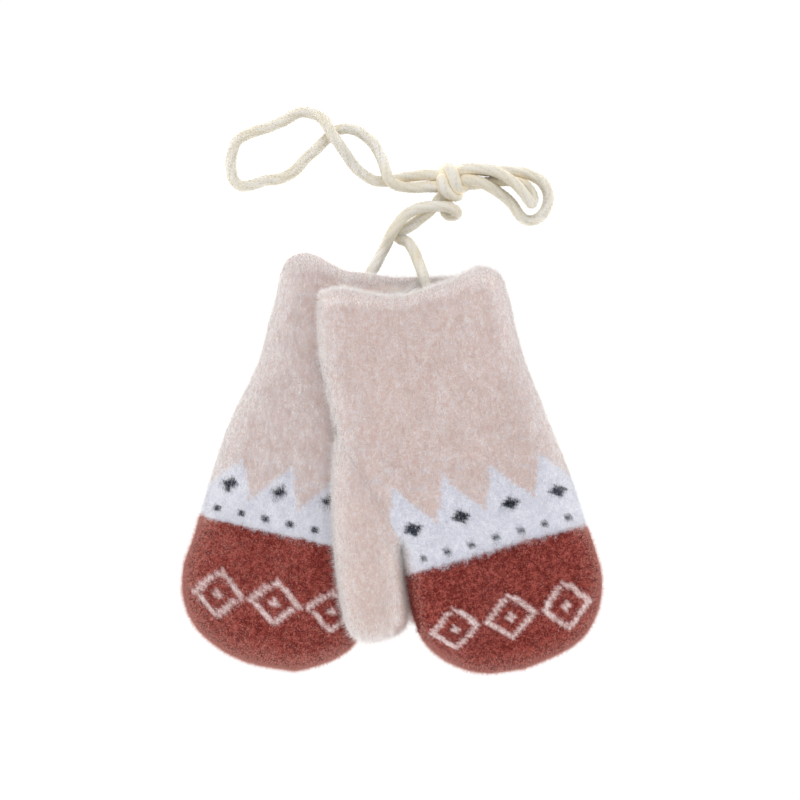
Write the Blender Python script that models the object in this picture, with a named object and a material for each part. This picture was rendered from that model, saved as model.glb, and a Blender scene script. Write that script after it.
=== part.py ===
"""Pair of baby mittens in brushed knit, joined by a knitted cord and laid flat.

The left mitten lies on the surface. The right one is its mirror image and laps over it. Each is a
hand knitted in one piece from mouth to toe, with a thumb set on at the side. The cord is sewn into
both mouths, and its spare length is tied up in one knot. Lengths are in millimetres until the end.
"""
import math

import bpy
import numpy as np

WALL = 2.4            # one thickness of the brushed knit
THICKNESS = 7.0       # front and back together, with the little air between them
MOUTH_GAPE = 2.8      # how much more a mouth stands open where the cord goes in
GAPE_AT = (10.0, 62.0)    # middle of that stretch of the mouth
GAPE_REACH = (13.0, 24.0)  # how far it reaches along the mouth and into the cuff
EDGE_ROUND = 7.0      # how far in from a folded edge the front is still rounding
UNDER_ROUND = 3.5     # the same under the mitten, which lies flat
HOLLOW_ROUND = 4.5    # the same in the hollow inside
EDGE_LEVEL = 0.45     # height of a folded edge's middle, as a share of the thickness
HOLLOW_LEAST = 0.2    # least height of the hollow, as a share of its full height
LIP = 0.7             # rounding of the mouth's rim
LIE_GAP = 0.3         # between the two mittens
SEAM_GAP = 0.32       # between a hand and its thumb
STEP_DOWN = 22.0      # over which the upper mitten comes down beside the lower one
CORD = 3.6            # diameter of the cord
HALF = 18             # cells across the front of a hand

# A row per section across the hand, from the mouth to the toe: the two ends of the section.
# Rows 5 to 10 are open on the thumb's side.
RIGHT_HAND = [  # thumb side x, y, little finger side x, y
    (-25.0, 58.8, 39.9, 63.2), (-25.7, 49.7, 41.6, 56.0), (-25.2, 40.6, 43.2, 48.0),
    (-23.4, 30.1, 45.6, 39.2), (-21.2, 19.6, 48.6, 30.8), (-19.1, 10.9, 51.6, 23.1),
    (-13.8, 1.8, 54.4, 15.0), (-8.9, -6.7, 57.5, 8.0), (-3.7, -15.4, 60.5, 0.4),
    (0.5, -22.1, 62.9, -6.1), (3.6, -28.0, 65.0, -11.3), (5.2, -38.9, 68.6, -21.4),
    (6.2, -46.6, 71.3, -29.5), (7.9, -53.6, 73.8, -38.9), (10.5, -60.6, 73.3, -48.7),
    (15.1, -66.0, 70.0, -57.4), (21.4, -70.2, 64.2, -63.7), (28.4, -72.6, 55.7, -68.0),
    (35.4, -73.2, 46.6, -71.5),
]
LEFT_HAND = [  # the same, in the mirror
    (-24.4, 63.0, 39.1, 67.2), (-25.7, 53.2, 40.6, 58.5), (-25.1, 42.7, 43.3, 48.7),
    (-23.3, 31.2, 46.5, 37.1), (-21.2, 20.0, 50.9, 27.3), (-19.1, 10.9, 54.8, 18.6),
    (-13.8, 1.8, 57.9, 10.9), (-8.9, -6.7, 60.4, 3.5), (-3.7, -15.4, 62.8, -3.2),
    (0.5, -22.1, 64.6, -9.5), (3.5, -27.4, 66.1, -13.6), (4.3, -32.6, 67.7, -18.4),
    (5.4, -40.6, 70.2, -26.6), (7.1, -48.6, 73.4, -36.4), (9.2, -56.0, 73.2, -46.9),
    (13.1, -63.3, 69.5, -56.4), (19.4, -68.3, 62.5, -63.4), (26.8, -71.1, 53.7, -68.6),
    (34.2, -72.8, 45.0, -71.1),
]
# A row per section across the thumb, from just past the crotch to the tip.
THUMB = [  # outer x, y, hand side x, y
    (-20.5, 3.2, 3.3, -30.4), (-20.8, -4.9, 3.6, -33.6), (-20.8, -13.6, 4.0, -36.8),
    (-20.4, -22.0, 4.3, -39.9), (-19.9, -30.1, 4.7, -43.4), (-19.1, -38.2, 5.1, -46.9),
    (-18.0, -45.5, 5.5, -50.4), (-16.9, -51.8, 5.6, -53.6), (-15.4, -56.7, 4.9, -57.0),
    (-13.1, -60.2, 2.8, -59.3), (-10.3, -62.0, -0.2, -61.1), (-7.5, -62.7, -3.3, -62.2),
]
# The mouth's rim, as its rise above a straight line between its two corners.
RIGHT_RIM = [  # share across from the thumb side, front, back
    (0.0, 0.8, 0.8), (0.12, 1.9, 0.8), (0.28, -1.0, -1.6), (0.43, -2.4, -1.0),
    (0.545, -0.9, 2.8), (0.64, 0.7, 3.6), (0.73, 2.0, 3.2), (0.83, 5.0, 4.6),
    (0.89, 5.6, 5.0), (0.95, 3.6, 3.4), (1.0, 0.0, 0.0),
]
LEFT_RIM = [
    (0.0, 0.8, 0.8), (0.12, 1.4, 0.6), (0.24, 1.4, 0.2), (0.38, 0.8, -0.6),
    (0.54, 1.3, 0.2), (0.64, 1.5, 0.8), (0.72, 3.3, 2.6), (0.8, 5.8, 5.0),
    (0.88, 6.8, 6.2), (0.94, 4.6, 4.2), (1.0, 0.0, 0.0),
]
RIM_FADE = 3.0        # rows over which the rim's shape dies away
RIM_LEAN = math.radians(9)    # how far the cuff's own axis leans
THUMB_START = 5.0     # rows between which the thumb joins
THUMB_END = 10.0
RUST_START = 11.0     # row at which the rust toe starts
WHITE_START = {"right": 9.3, "left": 9.0}
LAST_ROW = 18.0
TOE_IN = 16.7         # last row of the hollow inside
THUMB_LAST_ROW = 11.0
THUMB_PIVOT = (3.6, -28.0)    # the crotch, about which the lower mitten's thumb is spread
LEFT_SPREAD = math.radians(22)    # how far it is, so that the upper mitten hides it
SPREAD_BY = 4.0       # rows over which the spread comes in
THUMB_TIP_IN = 9.9    # last row of the hollow inside the thumb
THUMB_RINGS = [0, 1, 2, 3, 4, 5, 6, 7, 8, 8.7, 9.3, 9.9, 10.4, 10.8, THUMB_LAST_ROW]
CROTCH_SHIFT = (-0.5, 0.12, 0.0)   # how the thumb's seam clears the hand at the crotch

# Rows at which the hand has a ring of points.
RINGS = [0, 0.12, 0.6, 1.2, 1.8, 2.4, 3.0, 3.6, 4.3, 5.0, 5.4, 6.0, 6.7, 7.4, 8.0, 8.7, 9.3,
         9.7, 10.0, 10.5, 11.0, 11.6, 12.2, 12.9, 13.6, 14.3, 15.0, 15.6, 16.2, 16.8, 17.3,
         17.7, LAST_ROW]

PINK = (0.617, 0.497, 0.479, 1)
WHITE = (0.62, 0.62, 0.70, 1)
RUST = (0.215, 0.055, 0.047, 1)
CREAM = (0.80, 0.73, 0.58, 1)


def new_material(name, colour, rough):
    made = bpy.data.materials.new(name)
    made.use_nodes = True
    shader = made.node_tree.nodes["Principled BSDF"]
    shader.inputs["Base Color"].default_value = colour
    shader.inputs["Roughness"].default_value = rough
    made.diffuse_color = colour
    return made


def smooth_rows(table, at):
    """Values of a table at fractional rows, on a curve through the rows."""
    rows = np.array(table, float)
    at = np.clip(np.asarray(at, float), 0, len(rows) - 1)
    i = np.minimum(at.astype(int), len(rows) - 2)
    f = (at - i)[:, None]
    before = rows[np.maximum(i - 1, 0)]
    here = rows[i]
    there = rows[i + 1]
    after = rows[np.minimum(i + 2, len(rows) - 1)]
    m0 = (there - before) / 2
    m1 = (after - here) / 2
    return ((2 * f**3 - 3 * f**2 + 1) * here + (f**3 - 2 * f**2 + f) * m0
            + (3 * f**2 - 2 * f**3) * there + (f**3 - f**2) * m1)


def spread_thumb(table, angle):
    """The thumb's rows turned outwards about the crotch, none at the first row and all further on."""
    spread = []
    for row, line in enumerate(table):
        turn = angle * min(1.0, row / SPREAD_BY)
        ends = np.reshape(line, (2, 2)) - THUMB_PIVOT
        x = ends[:, 0] * math.cos(turn) + ends[:, 1] * math.sin(turn)
        y = ends[:, 1] * math.cos(turn) - ends[:, 0] * math.sin(turn)
        spread.append((np.column_stack([x, y]) + THUMB_PIVOT).ravel())
    return np.array(spread)


def rim_rise(table, share):
    rows = np.array(table)
    at = np.interp(share, rows[:, 0], np.arange(len(rows)))
    return smooth_rows(rows, at)[:, 1:]


def outline_distance(points, line):
    """Distance from each point to a chain of straight lines."""
    a = line[:-1][None]
    b = line[1:][None]
    p = points[:, None]
    along = ((p - a) * (b - a)).sum(2) / ((b - a)**2).sum(2)
    foot = a + np.clip(along, 0, 1)[..., None] * (b - a)
    return np.sqrt(((p - foot)**2).sum(2)).min(1)


def is_inside(points, line):
    x, y = points[:, 0], points[:, 1]
    result = np.zeros(len(points), bool)
    for (ax, ay), (bx, by) in zip(line, np.roll(line, -1, 0)):
        if ay != by:
            crosses = (ay > y) != (by > y)
            result ^= crosses & (x < (bx - ax) * (y - ay) / (by - ay) + ax)
    return result


class Mitten:
    """The shape of one mitten, drawn as the right one. The left one is this in the mirror."""

    def __init__(self, side, hand, thumb, rim, under):
        self.side = side
        self.hand = hand
        self.thumb = thumb
        self.rim = rim
        self.under = under
        fine = np.arange(0, LAST_ROW + 0.01, 0.25)
        rows = smooth_rows(hand, fine)
        upper = fine <= THUMB_START
        lower = fine >= THUMB_END
        thumb = smooth_rows(thumb, np.arange(0, THUMB_LAST_ROW + 0.01, 0.25))
        line = np.vstack([
            rows[upper, :2], thumb[:, :2], thumb[::-1, 2:], rows[lower, :2],
            rows[::-1, 2:]])
        apart = np.linalg.norm(np.diff(line, axis=0), axis=1)
        self.outline = line[np.append(True, apart > 0.01)]
        mouth = self.section_points(np.array([0.0]), np.linspace(0.96, 0.04, 24), 0)
        self.closed = np.vstack([self.outline, mouth.reshape(-1, 2)])

    def section_points(self, at, share, face):
        """Points at each row and share across, face 0 for the front and 1 for the back."""
        ends = smooth_rows(self.hand, at)
        first = ends[:, None, :2]
        second = ends[:, None, 2:]
        points = first + (second - first) * share[None, :, None]
        rise = rim_rise(self.rim, share)[:, face]
        ramp = np.clip(1 - np.asarray(at) / RIM_FADE, 0, 1)**1.5
        along = np.array([-math.sin(RIM_LEAN), math.cos(RIM_LEAN)])
        return points + (ramp[:, None] * rise[None])[..., None] * along

    def thickness(self, points):
        away = (points - GAPE_AT) / GAPE_REACH
        return THICKNESS + MOUTH_GAPE * np.exp(-(away**2).sum(1))

    def base(self, points):
        """Height of what lies under this mitten."""
        if self.under is None:
            return np.zeros(len(points))
        mirrored = points * [-1, 1]
        apart = np.where(is_inside(mirrored, self.under.closed), 0,
                         outline_distance(mirrored, self.under.closed))
        t = np.clip(1 - apart / STEP_DOWN, 0, 1)
        fall = t * t * (3 - 2 * t)
        return (self.under.thickness(mirrored) + LIE_GAP) * fall

    def heights(self, points, lip=0.0):
        """Heights of the front and the back, outside, at each point."""
        deep = outline_distance(points, self.outline)
        full = self.thickness(points)
        base = self.base(points)
        front = np.sqrt(1 - (1 - np.clip(deep / EDGE_ROUND, 0, 1))**2)
        back = np.sqrt(1 - (1 - np.clip(deep / UNDER_ROUND, 0, 1))**2)
        edge = EDGE_LEVEL * full
        return base + edge + (full - edge - lip) * front, base + edge * (1 - back) + lip

    def hollow(self, points):
        """The same for the hollow inside."""
        deep = np.maximum(outline_distance(points, self.outline) - WALL, 0)
        full = self.thickness(points)
        room = (full - 2 * WALL) / 2
        shape = np.sqrt(1 - (1 - np.clip(deep / HOLLOW_ROUND, 0, 1))**2)
        shape = np.maximum(shape, HOLLOW_LEAST)
        middle = self.base(points) + full / 2
        return middle + room * shape, middle - room * shape

    def inset(self, start, end):
        """Where the hollow's edge lies on the way from one end of a section to the other."""
        steps = np.linspace(0, 0.45, 300)
        way = start + (end - start) * steps[:, None]
        deep = outline_distance(way, self.outline)
        far = np.nonzero(deep >= WALL)[0]
        return way[far[0]] if len(far) else way[-1]


def rounded(count):
    return (1 - np.cos(np.pi * np.arange(count + 1) / count)) / 2


def add_mesh(name, vertices, faces, slots, materials, mirror):
    vertices = np.array(vertices, float) / 1000
    if mirror:
        vertices[:, 0] *= -1
        faces = [face[::-1] for face in faces]
    mesh = bpy.data.meshes.new(name)
    mesh.from_pydata([tuple(v) for v in vertices], [], faces)
    for material in materials:
        mesh.materials.append(material)
    mesh.polygons.foreach_set("material_index", slots)
    mesh.polygons.foreach_set("use_smooth", [True] * len(faces))
    mesh.update()
    made = bpy.data.objects.new(name, mesh)
    bpy.context.collection.objects.link(made)
    return made


def shell_rings(mitten, rows, share, lips, hollow_rows):
    """Outer and inner rings of a hand: front and back points for each ring."""
    outer = []
    inner = []
    for row, lip, inner_row in zip(rows, lips, hollow_rows):
        at = np.array([row])
        front = mitten.section_points(at, share, 0)[0]
        back = mitten.section_points(at, share, 1)[0]
        outer.append((np.column_stack([front, mitten.heights(front, lip)[0]]),
                      np.column_stack([back, mitten.heights(back, lip)[1]])))
        at = np.array([inner_row])
        first = mitten.section_points(at, np.array([0.0, 1.0]), 0)[0]
        low = mitten.inset(first[0], first[1])
        high = mitten.inset(first[1], first[0])
        span = np.linalg.norm(first[1] - first[0])
        cut_low = np.linalg.norm(low - first[0]) / span
        cut_high = 1 - np.linalg.norm(high - first[1]) / span
        if THUMB_START < row < THUMB_END:
            cut_low = share[1]
            narrow = np.concatenate([[0], [cut_low], cut_low + (cut_high - cut_low)
                                     * (share[2:] - share[1]) / (1 - share[1])])
        else:
            narrow = cut_low + (cut_high - cut_low) * share
        front = mitten.section_points(at, narrow, 0)[0]
        back = mitten.section_points(at, narrow, 1)[0]
        inner.append((np.column_stack([front, mitten.hollow(front)[0]]),
                      np.column_stack([back, mitten.hollow(back)[1]])))
    return outer, inner


def skin(outer, inner, half, first_hole, last_hole, slots_of):
    """One closed wall from rings of points, open at ring 0 and, for a hand, at the thumb."""
    vertices = []
    faces = []
    slots = []
    grids = []
    for rings in (outer, inner):
        grid = []
        last = len(rings) - 1
        for k, (front, back) in enumerate(rings):
            ids = {}
            hole = first_hole < k < last_hole
            for j in range(half + 1):
                edge = j in (0, half)
                if hole and j == 0:
                    continue
                if edge or k == last:
                    middle = front[j].copy()
                    middle[2] = (front[j][2] + back[j][2]) / 2
                    if edge and k < last:
                        middle[:2] = (front[j][:2] + back[j][:2]) / 2
                    vertices.append(middle)
                    ids[j] = len(vertices) - 1
                    ids[-j] = len(vertices) - 1
                else:
                    vertices.append(front[j])
                    ids[j] = len(vertices) - 1
                    vertices.append(back[j])
                    ids[-j] = len(vertices) - 1
            grid.append(ids)
        grids.append(grid)
    loop = list(range(0, half + 1)) + [-j for j in range(half - 1, 0, -1)]
    for which, grid in enumerate(grids):
        for k in range(len(grid) - 1):
            for a, b in zip(loop, loop[1:] + loop[:1]):
                gap = first_hole <= k < last_hole and 0 in (a, b)
                if gap:
                    continue
                corners = [grid[k][a], grid[k][b], grid[k + 1][b], grid[k + 1][a]]
                if not which:
                    corners = corners[::-1]
                faces.append([v for i, v in enumerate(corners) if v not in corners[:i]])
                slots.append(slots_of[k])
    for a, b in zip(loop, loop[1:] + loop[:1]):
        faces.append([grids[0][0][a], grids[0][0][b], grids[1][0][a]])
        faces.append([grids[0][0][b], grids[1][0][b], grids[1][0][a]])
        slots += [slots_of[0]] * 2
    if last_hole > first_hole:
        hole = ([(first_hole, 0)] + [(k, 1) for k in range(first_hole, last_hole + 1)]
                + [(last_hole, 0)] + [(k, -1) for k in range(last_hole, first_hole - 1, -1)])
        for (ka, a), (kb, b) in zip(hole, hole[1:] + hole[:1]):
            faces.append([grids[0][kb][b], grids[0][ka][a], grids[1][ka][a]])
            faces.append([grids[0][kb][b], grids[1][ka][a], grids[1][kb][b]])
            slots += [slots_of[min(ka, kb)]] * 2
        border = [(np.array(vertices[grids[0][k][j]]), np.array(vertices[grids[1][k][j]]))
                  for k, j in hole]
        return vertices, faces, slots, border
    return vertices, faces, slots, None


def build_hand(mitten, materials, mirror):
    rows = np.array(RINGS, float)
    hollow_rows = np.where(rows > THUMB_END, THUMB_END + (rows - THUMB_END)
                           * (TOE_IN - THUMB_END) / (LAST_ROW - THUMB_END), rows)
    lips = np.where(rows == 0, LIP, 0.0)
    outer, inner = shell_rings(mitten, rows, rounded(HALF), lips, hollow_rows)
    slots_of = [0 if row < WHITE_START[mitten.side] else 1 if row < RUST_START else 2
                for row in rows]
    first_hole = RINGS.index(THUMB_START)
    last_hole = RINGS.index(THUMB_END)
    vertices, faces, slots, border = skin(outer, inner, HALF, first_hole, last_hole, slots_of)
    name = "hand_" + mitten.side
    return add_mesh(name, vertices, faces, slots, materials, mirror), border


def seam_shift(border):
    """How far the thumb's seam stands off the hand's, at each outer and inner point."""
    count = len(border)
    flats = []
    for i in range(count):
        a, b = border[i]
        c, d = border[(i + 1) % count]
        flat = np.cross(d - a, c - b)
        flats.append(flat / max(np.linalg.norm(flat), 1e-9))
    if sum(flats)[0] > 0:
        flats = [-flat for flat in flats]
    shifts = []
    for i in range(count):
        way = flats[i - 1] + flats[i]
        way /= np.linalg.norm(way)
        reach = SEAM_GAP / max(0.5, float(way @ flats[i]))
        shifts.append((way * reach, way * reach))
    crotch = count // 2
    for i in (crotch - 1, crotch, crotch + 1):
        shifts[i] = (np.array(CROTCH_SHIFT), shifts[i][1])
    return shifts


def build_thumb(mitten, border, materials, mirror):
    """The thumb starts on the hand's open side, a gap away from it."""
    count = (len(border) - 2) // 2
    front_ids = list(range(1, count + 1))
    back_ids = list(range(len(border) - 1, count + 1, -1))
    top = [border[0]] + [border[i] for i in front_ids] + [border[count + 1]]
    low = [border[0]] + [border[i] for i in back_ids] + [border[count + 1]]
    half = len(top) - 1
    shift = seam_shift(border)
    top_shift = [shift[0]] + [shift[i] for i in front_ids] + [shift[count + 1]]
    low_shift = [shift[0]] + [shift[i] for i in back_ids] + [shift[count + 1]]
    outer = [(np.array([p[0] + s[0] for p, s in zip(top, top_shift)]),
              np.array([p[0] + s[0] for p, s in zip(low, low_shift)]))]
    inner = [(np.array([p[1] + s[1] for p, s in zip(top, top_shift)]),
              np.array([p[1] + s[1] for p, s in zip(low, low_shift)]))]
    seam = np.array([p[0][:2] for p in top])
    seam_share = np.concatenate([[0], np.cumsum(np.linalg.norm(np.diff(seam, axis=0), axis=1))])
    seam_share /= seam_share[-1]
    for row in THUMB_RINGS:
        ends = smooth_rows(mitten.thumb, [row])[0]
        blend = min(1.0, (row + 1) / 4)
        share = seam_share * (1 - blend) + rounded(half) * blend
        bow = outer[0][0][:, :2] - (outer[0][0][0, :2] + (outer[0][0][-1, :2]
                                    - outer[0][0][0, :2]) * seam_share[:, None])
        points = ends[:2] + (ends[2:] - ends[:2]) * share[:, None] + bow * (1 - blend)
        front, back = mitten.heights(points)
        outer.append((np.column_stack([points, front]), np.column_stack([points, back])))
        ends = smooth_rows(mitten.thumb, [row * THUMB_TIP_IN / THUMB_LAST_ROW])[0]
        low_end = mitten.inset(ends[:2], ends[2:])
        high_end = mitten.inset(ends[2:], ends[:2])
        points = low_end + (high_end - low_end) * share[:, None] + bow * (1 - blend)
        front, back = mitten.hollow(points)
        inner.append((np.column_stack([points, front]), np.column_stack([points, back])))
    vertices, faces, slots, _ = skin(outer, inner, half, 0, 0, [0] * len(outer))
    return add_mesh("thumb_" + mitten.side, vertices, faces, slots, materials, mirror)


# The cord's route, stretch by stretch, as x, y and height of its middle. It starts in the left
# mouth, goes through the knot four times, and ends in the right mouth.
ROUTES = {
    "cord_left_leg": [
        (-10.8, 59.8, 4.9), (-8.1, 65.5, 4.8), (-5.0, 71.0, 4.2), (-2.4, 75.9, 4.2),
        (-0.3, 80.2, 6.0), (2.0, 83.9, 6.2), (4.8, 87.1, 5.4), (8.2, 89.2, 5.4),
        (12.3, 90.2, 6.2), (16.4, 90.2, 6.4), (19.8, 89.4, 6.6), (22.3, 88.0, 5.9),
        (23.2, 86.9, 4.1), (22.4, 87.2, 2.3), (21.2, 89.2, 1.9), (20.8, 91.3, 1.9)],
    "cord_small_loop": [
        (25.7, 102.7, 6.0), (30.3, 102.7, 6.0), (35.2, 101.8, 6.0), (39.4, 100.1, 6.0),
        (43.2, 97.5, 6.0), (46.1, 94.8, 6.0), (48.4, 92.1, 5.6), (49.6, 91.3, 4.0),
        (49.2, 92.9, 2.3), (47.4, 95.7, 1.9), (43.9, 97.8, 1.9), (39.6, 98.9, 1.9),
        (34.5, 99.4, 1.9), (29.6, 99.4, 1.9), (25.9, 99.4, 1.9)],
    "cord_side_loop": [
        (14.8, 101.4, 4.4), (11.4, 101.5, 3.6), (6.5, 101.1, 2.4), (2.3, 100.3, 1.9),
        (-1.6, 99.4, 1.9), (-5.4, 99.6, 1.9), (-9.1, 101.3, 1.9), (-12.1, 103.7, 1.9),
        (-14.9, 107.0, 2.6), (-17.2, 110.5, 4.6), (-19.8, 114.0, 6.0), (-22.0, 117.8, 6.0),
        (-24.2, 121.2, 4.4), (-27.4, 123.1, 2.6), (-31.0, 123.9, 1.9), (-34.2, 123.0, 1.9),
        (-37.8, 120.9, 1.9), (-42.0, 119.0, 1.9), (-46.9, 117.4, 1.9), (-51.6, 115.7, 1.9),
        (-54.9, 113.0, 1.9), (-56.4, 108.4, 1.9), (-56.6, 103.9, 1.9), (-55.6, 99.9, 1.9),
        (-52.7, 97.8, 1.9), (-49.2, 98.2, 1.9), (-45.0, 99.6, 1.9), (-39.7, 100.3, 1.9),
        (-36.0, 101.8, 1.9), (-32.8, 104.5, 1.9), (-29.8, 107.9, 1.9), (-26.2, 111.1, 1.9),
        (-23.1, 114.2, 1.9), (-20.5, 116.7, 1.9), (-17.7, 117.8, 1.9), (-14.5, 117.9, 1.9),
        (-10.9, 116.5, 1.9), (-7.5, 113.9, 2.2), (-4.8, 110.2, 2.8), (-3.0, 106.2, 4.2),
        (-2.0, 102.8, 5.9), (-0.9, 99.8, 6.1), (1.6, 97.9, 5.2), (5.8, 97.1, 4.0),
        (10.7, 97.2, 4.0), (14.8, 97.4, 4.4)],
    "cord_big_loop": [
        (26.2, 103.4, 1.9), (30.3, 103.4, 1.9), (36.2, 103.0, 1.9), (42.0, 102.6, 1.9),
        (47.4, 101.9, 1.9), (52.0, 99.4, 1.9), (54.6, 95.6, 1.9), (54.7, 91.6, 1.9),
        (53.3, 88.0, 1.9), (50.4, 85.9, 1.9), (47.3, 85.8, 1.9), (44.9, 87.9, 1.9),
        (42.8, 91.0, 1.9), (40.5, 93.5, 1.9), (37.8, 95.3, 3.0), (34.0, 96.8, 5.0),
        (29.8, 98.2, 6.1), (26.2, 98.7, 6.2)],
    "cord_right_leg": [
        (16.3, 93.8, 2.4), (15.2, 91.8, 2.0), (13.1, 88.8, 1.9), (10.3, 86.3, 1.9),
        (6.8, 83.8, 1.9), (3.6, 81.9, 1.9), (2.0, 80.4, 1.9), (3.2, 79.0, 2.4), (5.7, 77.9, 3.4),
        (7.7, 74.9, 5.6), (9.3, 70.9, 9.2), (10.8, 66.5, 12.0), (12.3, 61.9, 12.3),
        (13.6, 57.6, 12.3)],
}
POINT_STEP = 7.4      # along the cord, between the points of its tubes


def spline_points(route, step):
    """Evenly spaced points on a curve through the route's points."""
    fine = smooth_rows(route, np.arange(0, len(route) - 1 + 1e-9, 0.02))
    run = np.concatenate([[0], np.cumsum(np.linalg.norm(np.diff(fine, axis=0), axis=1))])
    count = max(2, int(round(run[-1] / step)) + 1)
    at = np.linspace(0, run[-1], count)
    return np.column_stack([np.interp(at, run, fine[:, i]) for i in range(3)])


def build_cord(name, route, material):
    points = spline_points(route, POINT_STEP)
    curve = bpy.data.curves.new(name, "CURVE")
    curve.dimensions = "3D"
    curve.bevel_depth = CORD / 2000
    curve.bevel_resolution = 2
    curve.use_fill_caps = True
    spline = curve.splines.new("POLY")
    spline.points.add(len(points) - 1)
    for target, point in zip(spline.points, points):
        target.co = (point[0] / 1000, point[1] / 1000, max(point[2], CORD / 2) / 1000, 1)
    curve.materials.append(material)
    made = bpy.data.objects.new(name, curve)
    bpy.context.collection.objects.link(made)
    return made


KNOT_AT = (20.3, 98.7, 0.0)
KNOT_SIZE = (4.9, 6.4, 8.6)   # half its width, half its length, its height
KNOT_WRAPS = 3


def build_knot(material):
    """The knot as one lump, with a soft ridge for each turn round it."""
    around = 28
    rings = 16
    vertices = [(0.0, 0.0, -1.0)]
    for i in range(1, rings):
        tall = -math.cos(math.pi * i / rings)
        flat = math.sqrt(1 - tall * tall)
        for j in range(around):
            turn = 2 * math.pi * j / around
            lean = flat * math.sin(turn) + 0.45 * tall
            ridge = 1 + 0.07 * math.cos(lean * math.pi * KNOT_WRAPS)
            vertices.append((flat * math.cos(turn) * ridge, flat * math.sin(turn) * ridge,
                             tall * ridge))
    vertices.append((0.0, 0.0, 1.0))
    faces = []
    for j in range(around):
        k = (j + 1) % around
        faces.append([0, 1 + k, 1 + j])
        for i in range(rings - 2):
            a = 1 + i * around
            b = a + around
            faces.append([a + j, a + k, b + k, b + j])
        a = 1 + (rings - 2) * around
        faces.append([a + j, a + k, len(vertices) - 1])
    shaped = []
    low = min(v[2] for v in vertices)
    high = max(v[2] for v in vertices)
    for x, y, z in vertices:
        shaped.append((KNOT_AT[0] + KNOT_SIZE[0] * x, KNOT_AT[1] + KNOT_SIZE[1] * y,
                       KNOT_SIZE[2] * (z - low) / (high - low)))
    return add_mesh("cord_knot", shaped, faces, [0] * len(faces), [material], False)


for old in list(bpy.data.objects):
    bpy.data.objects.remove(old, do_unlink=True)

left = Mitten("left", LEFT_HAND, spread_thumb(THUMB, LEFT_SPREAD), LEFT_RIM, None)
right = Mitten("right", RIGHT_HAND, THUMB, RIGHT_RIM, left)
for mitten, mirror in ((left, True), (right, False)):
    zones = [new_material("pink_knit_" + mitten.side, PINK, 0.9),
             new_material("white_knit_" + mitten.side, WHITE, 0.9),
             new_material("rust_knit_" + mitten.side, RUST, 0.9)]
    hand, border = build_hand(mitten, zones, mirror)
    thumb_knit = new_material("thumb_knit_" + mitten.side, PINK, 0.9)
    build_thumb(mitten, border, [thumb_knit], mirror)

for name, route in ROUTES.items():
    build_cord(name, route, new_material(name + "_yarn", CREAM, 0.85))
build_knot(new_material("cord_knot_yarn", CREAM, 0.85))
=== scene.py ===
import math

import bpy
import numpy as np
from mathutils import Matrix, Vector, noise


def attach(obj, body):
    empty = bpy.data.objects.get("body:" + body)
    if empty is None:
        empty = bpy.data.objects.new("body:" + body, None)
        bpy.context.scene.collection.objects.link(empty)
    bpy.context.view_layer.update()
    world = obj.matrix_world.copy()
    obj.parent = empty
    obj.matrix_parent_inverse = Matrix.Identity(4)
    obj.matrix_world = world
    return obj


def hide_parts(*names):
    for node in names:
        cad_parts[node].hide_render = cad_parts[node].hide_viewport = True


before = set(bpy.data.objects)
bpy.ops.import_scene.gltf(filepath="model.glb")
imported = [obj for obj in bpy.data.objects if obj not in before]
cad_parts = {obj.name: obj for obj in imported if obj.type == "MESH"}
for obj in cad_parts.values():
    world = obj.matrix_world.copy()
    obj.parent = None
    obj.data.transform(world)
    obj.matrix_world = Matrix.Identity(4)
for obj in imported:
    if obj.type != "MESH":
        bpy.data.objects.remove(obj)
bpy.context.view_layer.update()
mm = 0.001
print("the frame is in")


# camera straight above the pair

view = {"at": (0.002975, 0.0224, 0.908), "lens": 115.7, "sensor": 36, "seesTo": 20}


def placeCamera():
    bpy.ops.object.camera_add(location=view["at"], rotation=(0, 0, 0))
    eye = bpy.context.object
    eye.name = "eye"
    eye.data.sensor_width = view["sensor"]
    eye.data.lens = view["lens"]
    eye.data.clip_end = view["seesTo"]
    bpy.context.scene.camera = eye


placeCamera()
print("the camera is in place")


# small helpers for points, meshes and materials

atOnce = 4000           # points measured at a time


def alongRows(table, at):
    # values at fractional rows, on a smooth curve through the rows
    rows = np.array(table, float)
    at = np.clip(np.asarray(at, float), 0, len(rows) - 1)
    i = np.minimum(at.astype(int), len(rows) - 2)
    f = (at - i)[:, None]
    before = rows[np.maximum(i - 1, 0)]
    here = rows[i]
    there = rows[i + 1]
    after = rows[np.minimum(i + 2, len(rows) - 1)]
    leave = (there - before) / 2
    arrive = (after - here) / 2
    return ((2 * f**3 - 3 * f**2 + 1) * here + (f**3 - 2 * f**2 + f) * leave
            + (3 * f**2 - 2 * f**3) * there + (f**3 - f**2) * arrive)


def unit(vectors):
    return vectors / np.maximum(np.linalg.norm(vectors, axis=-1, keepdims=True), 1e-12)


def runAlong(points):
    # distance along a line of points, from the first to each
    return np.concatenate([[0], np.cumsum(np.linalg.norm(np.diff(points, axis=0), axis=1))])


def widthOf(ends):
    return np.linalg.norm(ends[:, 2:] - ends[:, :2], axis=1)


def bell(values, wide, at=0.0):
    # 1 at one value, falling softly to 0 on both sides of it
    return np.exp(-((values - at) / wide)**2)


def rounded(away, reach):
    # a quarter of a circle: 0 at the edge, 1 from the reach on
    return np.sqrt(1 - (1 - np.clip(away / reach, 0, 1))**2)


def newMesh(name, points, faces, materials, slots=None):
    mesh = bpy.data.meshes.new(name)
    mesh.from_pydata(np.asarray(points).tolist(), [], faces)
    for material in materials:
        mesh.materials.append(material)
    if slots is not None:
        mesh.polygons.foreach_set("material_index", np.asarray(slots, np.int32))
    mesh.polygons.foreach_set("use_smooth", np.ones(len(faces), bool))
    mesh.update()
    piece = bpy.data.objects.new(name, mesh)
    bpy.context.collection.objects.link(piece)
    return piece


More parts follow.
